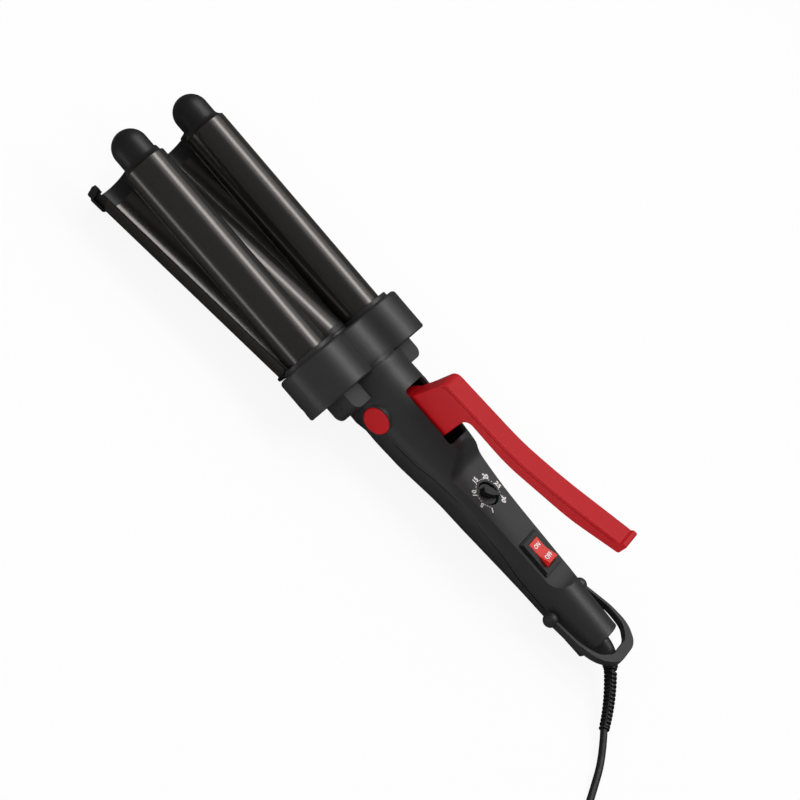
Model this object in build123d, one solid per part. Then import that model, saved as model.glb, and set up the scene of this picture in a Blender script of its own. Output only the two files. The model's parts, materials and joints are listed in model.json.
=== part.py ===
from build123d import *
import math
import os

# Hair waver: two heated barrels in a collar, a W-shaped heated jaw that a lever closes, and a
# handle with a heat dial, a rocker switch, a hanging loop and a swivelling cord.
#
# Millimetres. Everything is drawn in the tool's own frame: X along the handle towards the barrel
# tips, Y to the left, Z towards the lever, x = 0 at the front of the barrel flanges and z = 0 at
# the barrel axes. At the end the tool is laid on the table, on its jaw tip and its handle end.

# ---- fits ----
running_gap = 0.05      # radial, shaft in a turning hole
seat_gap = 0.1          # a part seated in another
slide_gap = 0.3         # between faces that pass each other

# ---- screws: shank radius, head radius, head height ----
screw_sizes = (1.5, 2.7, 1.8)
board_screw_sizes = (1.1, 2.0, 1.4)

# ---- barrels ----
barrel_spacing = 53.5
barrel_dia = 25.4
barrel_wall = 1.2
barrel_length = 129.3   # in front of the flange
barrel_seat = 12.0      # inside the collar, behind the flange
flange_dia = 33.0
flange_thick = 2.4
flange_round = 0.5
tip_dia = 20.4
tip_seam = 0.4          # groove between barrel and tip
tip_shoulder = 4.2      # round step from the barrel down to the tip's neck
tip_shoulder_bulge = 0.55
tip_straight = 7.1
tip_spigot = 7.0
tip_spigot_wall = 2.0
heater_width = 14.0
heater_thick = 3.0
spreader_start = 6.0
spreader_front_gap = 10.3   # free behind the tip's spigot
spreader_wall = 2.0

# ---- collar ----
lobe_radius = 20.9
collar_back = -28.0
valley_height = 11.0
collar_round = 1.2
collar_front_round = 2.2
lip_half_width = 9.3    # lip between the flanges, level with the jaw's ridge at rest
lip_reach = 49.1        # from the pivot to the lip's face
lip_drop = 0.3
shoulder_half_width = 33.7
shoulder_half_height = 8.0
shoulder_length = 10.8
shoulder_round = 5.0
spigot_length = 11.0
spigot_wall = 2.4
wire_hole_radius = 8.0
wire_channel_top = 7.0
wire_channel_bottom = -2.0
wire_channel_half_width = 9.0
collar_screw_x = -21.5
collar_screw_inset = 6.9
collar_screw_length = 18.0
collar_screw_top = 7.0
shoulder_screw_y = 28.0
shoulder_screw_length = 11.0
shoulder_screw_top = 4.0

# ---- handle: half width, top and bottom at stations along x ----
handle_stations = (
    (collar_back, 21.0, 20.6, 21.0),
    (-54.0, 21.2, 20.9, 21.2),
    (-78.0, 20.2, 21.1, 20.2),
    (-90.0, 18.8, 20.6, 18.9),
    (-107.0, 17.0, 17.0, 17.4),
    (-122.0, 16.2, 14.6, 17.0),
    (-138.0, 15.6, 14.0, 15.9),
    (-168.0, 14.2, 14.2, 14.3),
    (-184.0, 13.7, 13.7, 13.7),
    (-216.0, 13.0, 13.0, 13.0),
)
shell_wall = 2.2
handle_section_count = 26
handle_end_round = 0.6
seam_gap = 0.1
seam_line = ((-20, -0.3), (-61, 0), (-80, 0.7), (-94, 2.8), (-116, 3.5), (-137, 2.1), (-171, -1.8),
             (-225, -1.8))
panel_height = 9.2
hump_crest = (-88.5, 21.15)
hump_cut_length = 12.0
hump_foot_x = -97.5
hump_crest_round = 8.0
hump_foot_round = 9.0
panel_end_x = -177.0
panel_ramp = (-186.0, 16.5)
panel_ramp_round = 14.0
handle_screw_x = (-92.0, -179.0)
handle_screw_length = 16.0
handle_screw_sink = 2.5
screw_boss_radius = 3.4

# ---- pivot ----
pivot_x = -49.8
pivot_z = 1.0
pin_dia = 5.0
hub_radius = 7.0
bearing_radius = 6.0
bearing_flange_radius = 9.0
bearing_flange_thick = 2.6
boss_radius = 8.7
boss_half_width = 20.9
cap_radius = 7.95
cap_recess = 1.8
cap_proud = 0.5
cap_round = 0.8

# ---- lever: its outline points are x, z and the corner's radius ----
lever_half_width = 6.9
lever_slot_half_width = 8.8
lever_slot = (-84.5, -47.3)
lever_slot_round = 2.0
lever_edge_round = 0.7
lever_groove_inset = 1.5        # parting groove below the blade's top edge
lever_groove_width = 0.35
lever_groove_depth = 0.4
lever_groove_reach = 4.0
arm_front = (-51.3, 16.7, 0)
arm_front_top = (-54.0, 27.0, 30)
blade_front = (-57.2, 41.9, 5)
blade_bend = (-107.0, 44.8, 150)
blade_kick = (-135.0, 50.4, 300)
blade_notch = ((-175.0, 61.6, 0.5), (-176.6, 61.9, 0.4), (-177.6, 63.4, 0.4))
blade_end = ((-180.5, 63.9, 1.2), (-180.5, 56.4, 1.5))
finger_kick = (-152.0, 46.2, 120)
finger_bend = (-110.0, 37.5, 100)
arm_throat = (-79.0, 36.9, 5)
arm_back = (-78.6, 16.8, 0)
spring_face_z = 3.0
lug_bottom = -15.5
lug_front_x = -44.0
lug_back_x = -57.0
lug_spread = 3.0
lug_corner = 2.0
hub_shelf = (-2.0, 3.0)         # where the lug and the arm meet the hub, from its axis

# ---- return spring ----
spring_x = -71.0
spring_seat_z = -17.0
spring_seat_radius = 5.2
spring_peg_radius = 2.4
spring_peg_height = 3.0
spring_radius = 3.6
spring_wire = 0.9
spring_pitch = 2.6

# ---- jaw, drawn closed against the barrels ----
jaw_opening = 7.93      # degrees between closed and rest
hair_gap = 0.5          # between barrel and jaw plate when closed
jaw_sheet = 0.8
jaw_rim_height = 1.4
ridge_drop = 2.5        # the ridge's centre below the barrels' axes
jaw_overhang = 1.2      # plate in front of the barrel's end
jaw_back = 2.0
tip_cap_length = 9.8
tip_cap_thick = 2.2
tip_cap_core = 1.2      # its wall in front of the clip
tip_clip = (0.8, 8.6)   # from the plate's end
tip_clip_top = -5.4
tip_notch = (4.0, 5.3)
tip_lug = (6.5, 10.7)
tip_lug_z = (-5.1, 2.2)
tip_lug_width = 2.25
tip_lug_round = 1.0
tip_rim_top = 1.9
end_wall_sink = 0.8
base_cap_length = 1.0
cap_wall = 2.0
cover_half_width = 20.6
cover_thick = 2.0
cover_bottom = -14.6
jaw_arm_half_width = 9.0
jaw_arm_top = -6.0
jaw_arm_front = 34.0
jaw_arm_ramp = (3.0, 1.5)
jaw_arm_heel = (-41.0, -21.5)
jaw_arm_heel_end = (-53.0, -20.0)
jaw_arm_rear = (-58.0, -15.5)
jaw_arm_shelf = (-5.0, -1.0)    # rear and front, from the pivot's axis
jaw_arm_round = 3.0
jaw_slot_half_width = 9.5
jaw_slot_top = -4.5
jaw_slot_back_x = -64.0
fork_start_x = -38.0
arm_screw_places = ((-45.5, -12.0), (-54.0, -11.5))
arm_screw_radius = 1.5
jaw_heater_width = 12.0
jaw_heater_thick = 2.0
jaw_heater_start = 16.0
jaw_heater_margin = 12.5    # behind the plate's front
jaw_spreader_start = 12.0
jaw_spreader_margin = 6.5
fuse_radius = 2.0
fuse_length = 11.0
cover_screw_x = (12.0, 27.0)

# ---- controls ----
dial_x = -117.6
dial_hole_radius = 6.9
dial_radius = 6.1
dial_sink = 0.9         # disc below the panel
dial_thick = 2.4
dial_round = 0.5
dial_angle = -141.0     # pointer direction from +X, at the highest heat
pointer_tip = 7.0
pointer_tail = 4.9
pointer_waist = 1.0
pointer_half_width = 2.6
pointer_height = 3.6
pointer_rounds = (2.0, 3.0, 0.3)
pointer_taper = 6
dial_stem_radius = 2.0
dial_stem_depth = 3.0
switch_x = -159.6
bezel_length = 21.6
bezel_width = 16.9
bezel_proud = 1.9
bezel_step = 1.0        # lower step of the bezel's edge
bezel_step_width = 0.7
switch_length = 19.0
switch_width = 13.0
switch_depth = 15.0
rocker_radius = 7.9
rocker_width = 8.6
rocker_axis_above_panel = 0.3
rocker_valley = 1.9     # above the rocker's axis
rocker_crest = 3.6
rocker_belly = 3.0
rocker_dish = 12.0
rocker_half_travel = 12.0
rocker_pin_radius = 1.0
rocker_pin_length = 1.2
rocker_gap = 0.2
terminal_thick = 0.8
terminal_width = 4.8
terminal_length = 5.0
board_x = (-101.0, -147.0)
board_width = 20.0
board_thick = 1.6
board_top = -2.0
board_post_radius = 2.6
board_screw_length = 5.0
board_screw_inset = 4.0
pot_size = 11.0

# ---- hanging loop ----
loop_x = -189.0
loop_raise = 11.7
loop_ball_radius = 4.2
loop_ball_y = 17.4
loop_thick = 4.4
loop_pin_radius = 1.8
loop_outer_half = 20.0
loop_shoulder = 20.0
loop_corner = (33.0, 18.0)
loop_end = 42.6
loop_end_half = 9.5
loop_outer_rounds = (40, 18, 12)
loop_inner_rounds = (30, 10, 7)
loop_arm_width = 2.1
loop_corner_width = 3.4
loop_end_bar = 5.9
loop_end_narrowing = 2.0
loop_foot = 3.0
loop_foot_inset = 1.5
loop_edge_round = 0.5

# ---- cord swivel and strain relief ----
swivel_droop = -7.6     # degrees the elbow turns down, towards the table
swivel_root_radius = 5.6
swivel_tip_radius = 4.0
swivel_drum_radius = 8.6
swivel_drum_length = 6.0
swivel_straight = 3.0
elbow_turn = 50.0
elbow_radius = 15.0
relief_turn = 12.0
relief_length = 36.0
relief_core_radius = 2.7
relief_rib_start = 3.6
relief_rib_end = 2.9
relief_ribs = 14
relief_rib_thick = 1.6
contact_block_length = 6.0

# ---- cord, coil and plug, on the table ----
cord_dia = 4.0
coil_turn_radii = (20.0, 24.1, 28.2)
coil_layers = 4
coil_pitch = 4.1
coil_centre = (-303.8, 106.7)
lead_points = ((-256.6, 48.5, 3.4), (-262.6, 67.0, 2.05), (-269.0, 92.0, 2.0), (-278.0, 118.0, 2.0))
tail_points = ((-315.1, 132.5, 14.3), (-332.0, 124.6, 12.0), (-345.0, 111.0, 8.6), (-350.6, 94.0, 7.0))
plug_size = (34.0, 24.0, 13.0)
plug_round = 4.0
plug_neck_length = 10.0
plug_neck_radius = 4.2
blade_size = (17.0, 1.5, 6.3)
blade_spacing = 12.7
blade_root = 6.0

# ---- worked-out sizes ----
half_spacing = barrel_spacing / 2
barrel_radius = barrel_dia / 2
scallop_radius = barrel_radius + hair_gap
ridge_radius = math.hypot(half_spacing, ridge_drop) - scallop_radius
flange_back = -flange_thick
spreader_end = barrel_length - tip_spigot - spreader_front_gap
jaw_front = barrel_length + jaw_overhang
jaw_heater_ends = (jaw_heater_start, jaw_front - jaw_heater_margin)
jaw_spreader_ends = (jaw_spreader_start, jaw_front - jaw_spreader_margin)
shell_inner_front = handle_stations[0][2] - shell_wall
handle_back = handle_stations[-1][0]
handle_end_radius = handle_stations[-1][1]
cap_seat_y = boss_half_width - cap_recess
handle_reach = 3 * handle_stations[0][1]
sides = (("left", 1), ("right", -1))


# ---- shapes shared by the parts ----
def block(x, y, z):
    """A box between the limits given for each axis."""
    size = (x[1] - x[0], y[1] - y[0], z[1] - z[0])
    return Pos((x[0] + x[1]) / 2, (y[0] + y[1]) / 2, (z[0] + z[1]) / 2) * Box(*size)


def rod_x(radius, x0, x1, y=0.0, z=0.0):
    """A cylinder along X."""
    return Pos((x0 + x1) / 2, y, z) * Rot(0, 90, 0) * Cylinder(radius, x1 - x0)


def rod_y(radius, y0, y1, x, z):
    """A cylinder along Y."""
    return Pos(x, (y0 + y1) / 2, z) * Rot(90, 0, 0) * Cylinder(radius, y1 - y0)


def rod_z(radius, z0, z1, x, y=0.0):
    """A cylinder along Z."""
    return Pos(x, y, (z0 + z1) / 2) * Cylinder(radius, z1 - z0)


def side_plate(points, y0, y1, radii=0):
    """A plate from y0 to y1 with the outline points (x, z) and a fillet radius at each."""
    outline = Plane.XZ.offset(-y0) * make_face(FilletPolyline(*points, radius=radii, close=True))
    return extrude(outline, amount=y1 - y0, dir=(0, 1, 0))


def screw_z(x, y, head_z, length, up=True, sizes=screw_sizes, grow=0.0):
    """A screw along Z with its head's outer face at head_z; grow widens it into its hole."""
    shank, head, head_height = sizes
    shank += grow
    head += grow
    step = 1 if up else -1
    head_end = head_z + step * head_height
    tip = head_z + step * length
    body = rod_z(head, min(head_z, head_end), max(head_z, head_end), x, y)
    return body + rod_z(shank, min(head_end, tip), max(head_end, tip), x, y)


def opened(shape):
    """Swing a shape of the closed jaw about the pivot to its place at rest."""
    return Pos(pivot_x, 0, pivot_z) * Rot(0, jaw_opening, 0) * Pos(-pivot_x, 0, -pivot_z) * shape


# ---- barrels ----
def barrel(side):
    y = side * half_spacing
    tube = rod_x(barrel_radius, flange_back - barrel_seat, barrel_length, y)
    return tube - rod_x(barrel_radius - barrel_wall, flange_back - barrel_seat, barrel_length, y)


def barrel_flange(side):
    y = side * half_spacing
    disc = rod_x(flange_dia / 2, flange_back, 0, y)
    disc = fillet(disc.edges().group_by(Axis.X)[-1], flange_round)
    return disc - rod_x(barrel_radius + seat_gap, flange_back, 0, y)


def cool_tip(side):
    """A domed plug: hollow spigot, round shoulder, short neck and half ball."""
    bore = barrel_radius - barrel_wall - seat_gap
    neck = tip_dia / 2
    start = barrel_length
    edge = (start + tip_seam, barrel_radius - seat_gap)
    shoulder_end = (start + tip_shoulder, neck)
    dome_x = start + tip_shoulder + tip_straight
    profile = make_face([
        Polyline((start - tip_spigot, 0), (start - tip_spigot, bore), (start, bore),
                 (start, barrel_radius - tip_seam), (start + tip_seam, barrel_radius - tip_seam), edge),
        SagittaArc(edge, shoulder_end, -tip_shoulder_bulge),
        Line(shoulder_end, (dome_x, neck)),
        CenterArc((dome_x, 0), neck, 0, 90),
        Line((dome_x + neck, 0), (start - tip_spigot, 0)),
    ])
    plug = revolve(profile, Axis.X)
    plug -= rod_x(bore - tip_spigot_wall, start - tip_spigot, start, 0)
    return Pos(0, side * half_spacing, 0) * plug


def barrel_heater(side):
    y = side * half_spacing
    half = heater_width / 2
    return block((spreader_start, spreader_end), (y - half, y + half), (-heater_thick / 2, heater_thick / 2))


def half_rods(side, inset):
    """Two half-round rods above and below the barrel's heater, each face set in by inset."""
    y = side * half_spacing
    radius = barrel_radius - barrel_wall - seat_gap - inset
    flat = heater_thick / 2 + inset
    rod = rod_x(radius, spreader_start, spreader_end, y)
    return rod - block((spreader_start, spreader_end), (y - radius, y + radius), (-flat, flat))


def heat_spreader(side):
    """Two half-round hollow bars that press the heater and touch the barrel."""
    return half_rods(side, 0) - half_rods(side, spreader_wall)


# ---- collar ----
def collar_outline():
    """Two round lobes with a hollow blend above and below, seen along X."""
    blend = (half_spacing ** 2 + valley_height ** 2 - lobe_radius ** 2) / (2 * (lobe_radius - valley_height))
    reach = lobe_radius / (lobe_radius + blend)
    tangent_y = half_spacing * (1 - reach)
    tangent_z = (valley_height + blend) * reach
    outline = Rectangle(2 * tangent_y, 2 * tangent_z)
    for side in (1, -1):
        outline -= Pos(0, side * (valley_height + blend)) * Circle(blend)
    for side in (1, -1):
        outline += Pos(side * half_spacing, 0) * Circle(lobe_radius)
    return outline


def collar_whole():
    lobes = extrude(Plane.YZ.offset(collar_back) * collar_outline(), amount=flange_back - collar_back)
    lobes = fillet(lobes.edges().group_by(Axis.X)[-1], collar_front_round)
    lobes = fillet(lobes.edges().group_by(Axis.X)[0], collar_round)
    back = collar_back - shoulder_length
    shoulders = block((back, collar_back + 2), (-shoulder_half_width, shoulder_half_width),
                      (-shoulder_half_height, shoulder_half_height))
    rear_corners = shoulders.edges().filter_by(Axis.Z).group_by(Axis.X)[0]
    shoulders = fillet(rear_corners, shoulder_round)
    shoulders -= rod_x(handle_stations[0][1] + slide_gap, back, collar_back)
    spigot_radius = shell_inner_front - seat_gap
    spigot = rod_x(spigot_radius, collar_back - spigot_length, collar_back + 2)
    spigot -= rod_x(spigot_radius - spigot_wall, collar_back - spigot_length, collar_back)
    body = lobes + shoulders + spigot + collar_lip()
    for side in (1, -1):
        y = side * half_spacing
        body -= rod_x(barrel_radius + seat_gap, flange_back - barrel_seat, flange_back, y)
        body -= rod_x(wire_hole_radius, collar_back + 4, flange_back, y)
    body -= block((collar_back + 4, flange_back - barrel_seat), (-half_spacing, half_spacing),
                  (wire_channel_bottom, wire_channel_top))
    body -= block((collar_back - 1, collar_back + 5), (-wire_channel_half_width, wire_channel_half_width),
                  (wire_channel_bottom, wire_channel_top))
    body -= block((collar_back - spigot_length - 1, 1),
                  (-jaw_slot_half_width, jaw_slot_half_width), (-2 * lobe_radius, jaw_slot_top))
    return body


def collar_lip():
    """A short lip between the flanges that carries on the ridge's line when the jaw is at rest."""
    line = opened(rod_x(ridge_radius - lip_drop, -lobe_radius, lobe_radius, 0, -ridge_drop))
    lip = line & rod_y(lip_reach, -lip_half_width, lip_half_width, pivot_x, pivot_z)
    return lip & block((flange_back - collar_front_round, 0), (-lip_half_width, lip_half_width),
                       (jaw_slot_top, lobe_radius))


def collar_screw_places():
    """x, y, z of the head's face and length, for two screws in the lobes and two in the shoulders."""
    places = []
    for side in (1, -1):
        places.append((collar_screw_x, side * (half_spacing + lobe_radius - collar_screw_inset),
                       collar_screw_top - collar_screw_length, collar_screw_length))
        places.append((collar_back - shoulder_length / 2, side * shoulder_screw_y,
                       shoulder_screw_top - shoulder_screw_length, shoulder_screw_length))
    return places


def collar_screws(grow=0.0):
    return [screw_z(*place, grow=grow) for place in collar_screw_places()]


def collar_half(upper):
    reach = 2 * lobe_radius + half_spacing
    limits = (seam_gap / 2, reach) if upper else (-reach, -seam_gap / 2)
    half = collar_whole() & block((collar_back - 40, 5), (-reach, reach), limits)
    for screw in collar_screws(grow=running_gap):
        half -= screw
    if not upper:
        for x, y, head_z, _ in collar_screw_places():
            half -= rod_z(screw_sizes[1] + running_gap, -reach, head_z, x, y)
    return half


# ---- handle ----
def handle_sizes(x):
    """Half width, top and bottom of the handle at x, on a smooth curve through the stations."""
    spots = [station[0] for station in handle_stations]
    last = len(spots) - 2
    index = min(last, max(0, sum(1 for spot in spots[1:] if spot > x)))
    span = spots[index] - spots[index + 1]
    share = (spots[index] - x) / span
    sizes = []
    for column in (1, 2, 3):
        values = [station[column] for station in handle_stations]
        start, end = values[index], values[index + 1]
        start_slope = station_slope(spots, values, index) * span
        end_slope = station_slope(spots, values, index + 1) * span
        rise = end - start
        sizes.append(start + share * start_slope
                     + share ** 2 * (3 * rise - 2 * start_slope - end_slope)
                     + share ** 3 * (start_slope + end_slope - 2 * rise))
    return sizes


def station_slope(spots, values, index):
    """The slope towards the cord at a station: none at a crest, else a mean that can't overshoot."""
    if index in (0, len(spots) - 1):
        return 0.0
    before = (values[index] - values[index - 1]) / (spots[index - 1] - spots[index])
    after = (values[index + 1] - values[index]) / (spots[index] - spots[index + 1])
    if before * after <= 0:
        return 0.0
    return 2 * before * after / (before + after)


def quarter_arc(start, end):
    """A quarter of an ellipse about the origin between two points on its axes."""
    pull = 0.5523
    first = (start[0] + pull * end[0], start[1] + pull * end[1])
    second = (end[0] + pull * start[0], end[1] + pull * start[1])
    return Bezier(start, first, second, end)


def handle_section(x, inset):
    """One cross-section: an upper and a lower half ellipse, inset by a wall."""
    half_width, top, bottom = (size - inset for size in handle_sizes(x))
    corners = [(half_width, 0), (0, top), (-half_width, 0), (0, -bottom)]
    arcs = [quarter_arc(start, end) for start, end in zip(corners, corners[1:] + corners[:1])]
    return Plane.YZ.offset(x) * make_face(arcs)


def handle_form(inset):
    """The handle's outer form, or its hollow when inset is the wall."""
    front, back = collar_back + inset, handle_back + inset
    step = (back - front) / handle_section_count
    form = loft([handle_section(front + step * number, inset) for number in range(handle_section_count + 1)])
    if not inset:
        form = fillet(form.edges().group_by(Axis.X)[0], handle_end_round)
    return form - panel_cut(inset)


def panel_cut(inset):
    """What is cut off the handle's top to leave the hump, the flat panel and the ramp behind it."""
    crest_x, crest_z = hump_crest
    ramp_x, ramp_z = panel_ramp
    panel = panel_height - inset
    cut_x = crest_x + hump_cut_length
    points = [(cut_x, 2 * crest_z), (cut_x, crest_z - inset), (crest_x + inset, crest_z - inset),
              (hump_foot_x + inset, panel), (panel_end_x - inset, panel),
              (ramp_x - inset, ramp_z - inset), (ramp_x - inset, 2 * crest_z)]
    radii = [0, 0, hump_crest_round, hump_foot_round, panel_ramp_round, 0, 0]
    return side_plate(points, -handle_reach, handle_reach, radii)


def seam_side(upper):
    """Everything above or below the wavy seam between the handle's shells."""
    shift = seam_gap / 2 if upper else -seam_gap / 2
    wave = [(x, z + shift) for x, z in seam_line]
    edge_z = handle_reach if upper else -handle_reach
    first, last = wave[0], wave[-1]
    outline = [Spline(*wave), Polyline(last, (last[0], edge_z), (first[0], edge_z), first)]
    side_face = Plane.XZ.offset(handle_reach) * make_face(outline)
    return extrude(side_face, amount=2 * handle_reach, dir=(0, 1, 0))


def handle_screws(grow=0.0):
    """The screws that hold the shells together, put in from below."""
    return [screw_z(x, 0, handle_screw_sink - handle_floor(x), handle_screw_length, grow=grow)
            for x in handle_screw_x]


def handle_floor(x):
    """The depth of the handle's underside at x."""
    return handle_sizes(x)[2]


def board_posts():
    """Where the control board's two screws stand, along x."""
    return board_x[0] - board_screw_inset, board_x[1] + board_screw_inset


def handle_shell(upper):
    outer = handle_form(0)
    hollow = handle_form(shell_wall)
    boss = rod_y(boss_radius, -boss_half_width, boss_half_width, pivot_x, pivot_z)
    shell = outer + boss - hollow
    room = jaw_slot_half_width - (jaw_slot_half_width - jaw_arm_half_width) / 2
    for side in (1, -1):
        near, far = sorted((side * room, side * cap_seat_y))
        shell += rod_y(bearing_radius, near, far, pivot_x, pivot_z)
        near, far = sorted((side * (cap_seat_y - bearing_flange_thick), side * cap_seat_y))
        shell += rod_y(bearing_flange_radius, near, far, pivot_x, pivot_z)
        near, far = sorted((side * cap_seat_y, side * handle_reach))
        shell -= rod_y(cap_radius + seat_gap, near, far, pivot_x, pivot_z)
    inside = hollow + rod_z(1, -1, 1, pivot_x)
    posts = []
    for x in handle_screw_x:
        posts.append(rod_z(screw_boss_radius, -handle_floor(x) + 1, handle_reach, x))
    if not upper:
        for x in board_posts():
            posts.append(rod_z(board_post_radius, -handle_floor(x) + 1, board_top - board_thick, x))
        posts.append(rod_z(spring_seat_radius, -handle_floor(spring_x) + 1, spring_seat_z, spring_x))
        posts.append(rod_z(spring_peg_radius, spring_seat_z, spring_seat_z + spring_peg_height, spring_x))
    for post in posts:
        shell += post & inside
    shell -= rod_y(pin_dia / 2 + seat_gap, -cap_seat_y, cap_seat_y, pivot_x, pivot_z)
    slot = block(lever_slot, (-lever_slot_half_width, lever_slot_half_width),
                 (pivot_z + hub_radius, handle_reach))
    shell -= fillet(slot.edges().filter_by(Axis.Z), lever_slot_round)
    shell -= block((jaw_slot_back_x, collar_back + 1), (-jaw_slot_half_width, jaw_slot_half_width),
                   (-handle_reach, -shell_inner_front / 2))
    shell -= rod_z(dial_hole_radius, 0, handle_reach, dial_x)
    shell -= block((switch_x - switch_length / 2 - seat_gap, switch_x + switch_length / 2 + seat_gap),
                   (-switch_width / 2 - seat_gap, switch_width / 2 + seat_gap), (0, handle_reach))
    shell -= rod_x(swivel_root_radius + running_gap, handle_back - 1, handle_back + shell_wall + 1)
    shell -= rod_y(loop_pin_radius + running_gap, -handle_reach, handle_reach, loop_x, 0)
    for screw in handle_screws(grow=running_gap):
        shell -= screw
    if not upper:
        head_hole = screw_sizes[1] + running_gap
        for x in handle_screw_x:
            shell -= rod_z(head_hole, -handle_reach, handle_screw_sink - handle_floor(x), x)
        for screw in board_screws(grow=running_gap):
            shell -= screw
    return shell & seam_side(upper)


# ---- pivot ----
def pivot_pin():
    end = cap_seat_y - seat_gap
    return rod_y(pin_dia / 2, -end, end, pivot_x, pivot_z)


def pivot_cap(side):
    near, far = sorted((side * cap_seat_y, side * (boss_half_width + cap_proud)))
    disc = rod_y(cap_radius, near, far, pivot_x, pivot_z)
    face = disc.edges().sort_by(Axis.Y)[-1 if side > 0 else 0]
    return fillet(face, cap_round)


# ---- lever ----
def lever():
    """The red squeeze lever with its blade, its arm in the slot, hub and lug."""
    hub_front = pivot_x + hub_radius
    low, high = (pivot_z + step for step in hub_shelf)
    corners = [arm_front, arm_front_top, blade_front, blade_bend, blade_kick, *blade_notch, *blade_end,
               finger_kick, finger_bend, arm_throat, arm_back, (arm_back[0], spring_face_z, lug_corner / 2),
               (lug_back_x - lug_spread, spring_face_z, lug_corner), (lug_back_x, lug_bottom, lug_corner),
               (lug_front_x, lug_bottom, lug_corner), (hub_front, low, 0), (hub_front, high, lug_spread)]
    points = [(x, z) for x, z, _ in corners]
    radii = [radius for _, _, radius in corners]
    body = side_plate(points, -lever_half_width, lever_half_width, radii)
    faces = body.faces().filter_by(Axis.Y)
    rims = [edge for face in faces for edge in face.edges() if edge.center().Z > arm_front[1] + 1]
    body = fillet(rims, lever_edge_round) - lever_grooves(points, radii)
    body -= rod_y(pin_dia / 2 + running_gap, -lever_half_width, lever_half_width, pivot_x, pivot_z)
    for screw in arm_screws(grow=running_gap):
        body -= screw
    return body


def lever_grooves(points, radii):
    """The parting line just below the blade's top edge, on both sides."""
    outline = make_face(FilletPolyline(*points, radius=radii, close=True))
    line = offset(outline, -lever_groove_inset) - offset(outline, -lever_groove_inset - lever_groove_width)
    tops = (blade_front, blade_bend, blade_kick, blade_notch[0])
    near_top = [(x, z - lever_groove_reach) for x, z, _ in tops]
    top = make_face(Polyline(*near_top, tops[-1][:2], tops[0][:2], close=True))
    grooves = []
    for side in (1, -1):
        face = Plane.XZ.offset(-side * lever_half_width) * (line & top)
        grooves.append(extrude(face, amount=lever_groove_depth, dir=(0, -side, 0)))
    return grooves


def return_spring():
    """A coil spring between the handle's seat and the lever's underside."""
    height = spring_face_z - spring_seat_z - spring_wire
    helix = Helix(pitch=spring_pitch, height=height, radius=spring_radius)
    wire = sweep(Plane(helix @ 0, z_dir=helix % 0) * Circle(spring_wire / 2), path=helix)
    coil = Pos(spring_x, 0, spring_seat_z + spring_wire / 2) * wire
    return coil & block((spring_x - 10, spring_x + 10), (-10, 10), (spring_seat_z, spring_face_z))


# ---- jaw ----
def wave_side(direction):
    """What lies above (1) or below (-1) the line through the scallops' and the ridge's centres."""
    reach = 2 * barrel_spacing
    line = ((-reach, 0), (-half_spacing, 0), (0, -ridge_drop), (half_spacing, 0), (reach, 0))
    edge = direction * reach
    return make_face(Polyline(*line, (reach, edge), (-reach, edge), close=True))


def wave_outline(inner_growth, outer_growth):
    """The jaw's W: a strip between two offsets of the scallops and of the ridge, seen along X."""
    inner = scallop_radius + inner_growth
    outer = scallop_radius + outer_growth
    ridge = Circle(ridge_radius - inner_growth) - Circle(ridge_radius - outer_growth)
    strip = (Pos(0, -ridge_drop) * ridge) & wave_side(1)
    for side in (1, -1):
        ring = Circle(outer) - Circle(inner)
        strip += (Pos(side * half_spacing, 0) * ring) & wave_side(-1)
        rim_y = side * (half_spacing + (inner + outer) / 2)
        strip += Pos(rim_y, jaw_rim_height / 2) * Rectangle(outer - inner, jaw_rim_height)
    return strip


def along(outline, x0, x1):
    """Extrude an outline seen along X from x0 to x1."""
    return extrude(Plane.YZ.offset(x0) * outline, amount=x1 - x0)


def cavity_outline(gap):
    """The space under the ridge and above the back cover, between the scallops."""
    space = (Pos(0, -ridge_drop) * Circle(ridge_radius - jaw_sheet - gap)) & wave_side(1)
    bottom = cover_bottom + cover_thick
    space += Pos(0, bottom / 2) * Rectangle(2 * cover_half_width, -bottom)
    for side in (1, -1):
        space -= Pos(side * half_spacing, 0) * Circle(scallop_radius + jaw_sheet + gap)
    return space


def jaw_plate():
    return opened(along(wave_outline(0, jaw_sheet), jaw_back, jaw_front))


def without_scallops(shape, x0, x1):
    """A shape of the jaw with the room of the scallops taken out."""
    for side in (1, -1):
        shape -= rod_x(scallop_radius, x0, x1, side * half_spacing)
    return shape


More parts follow.
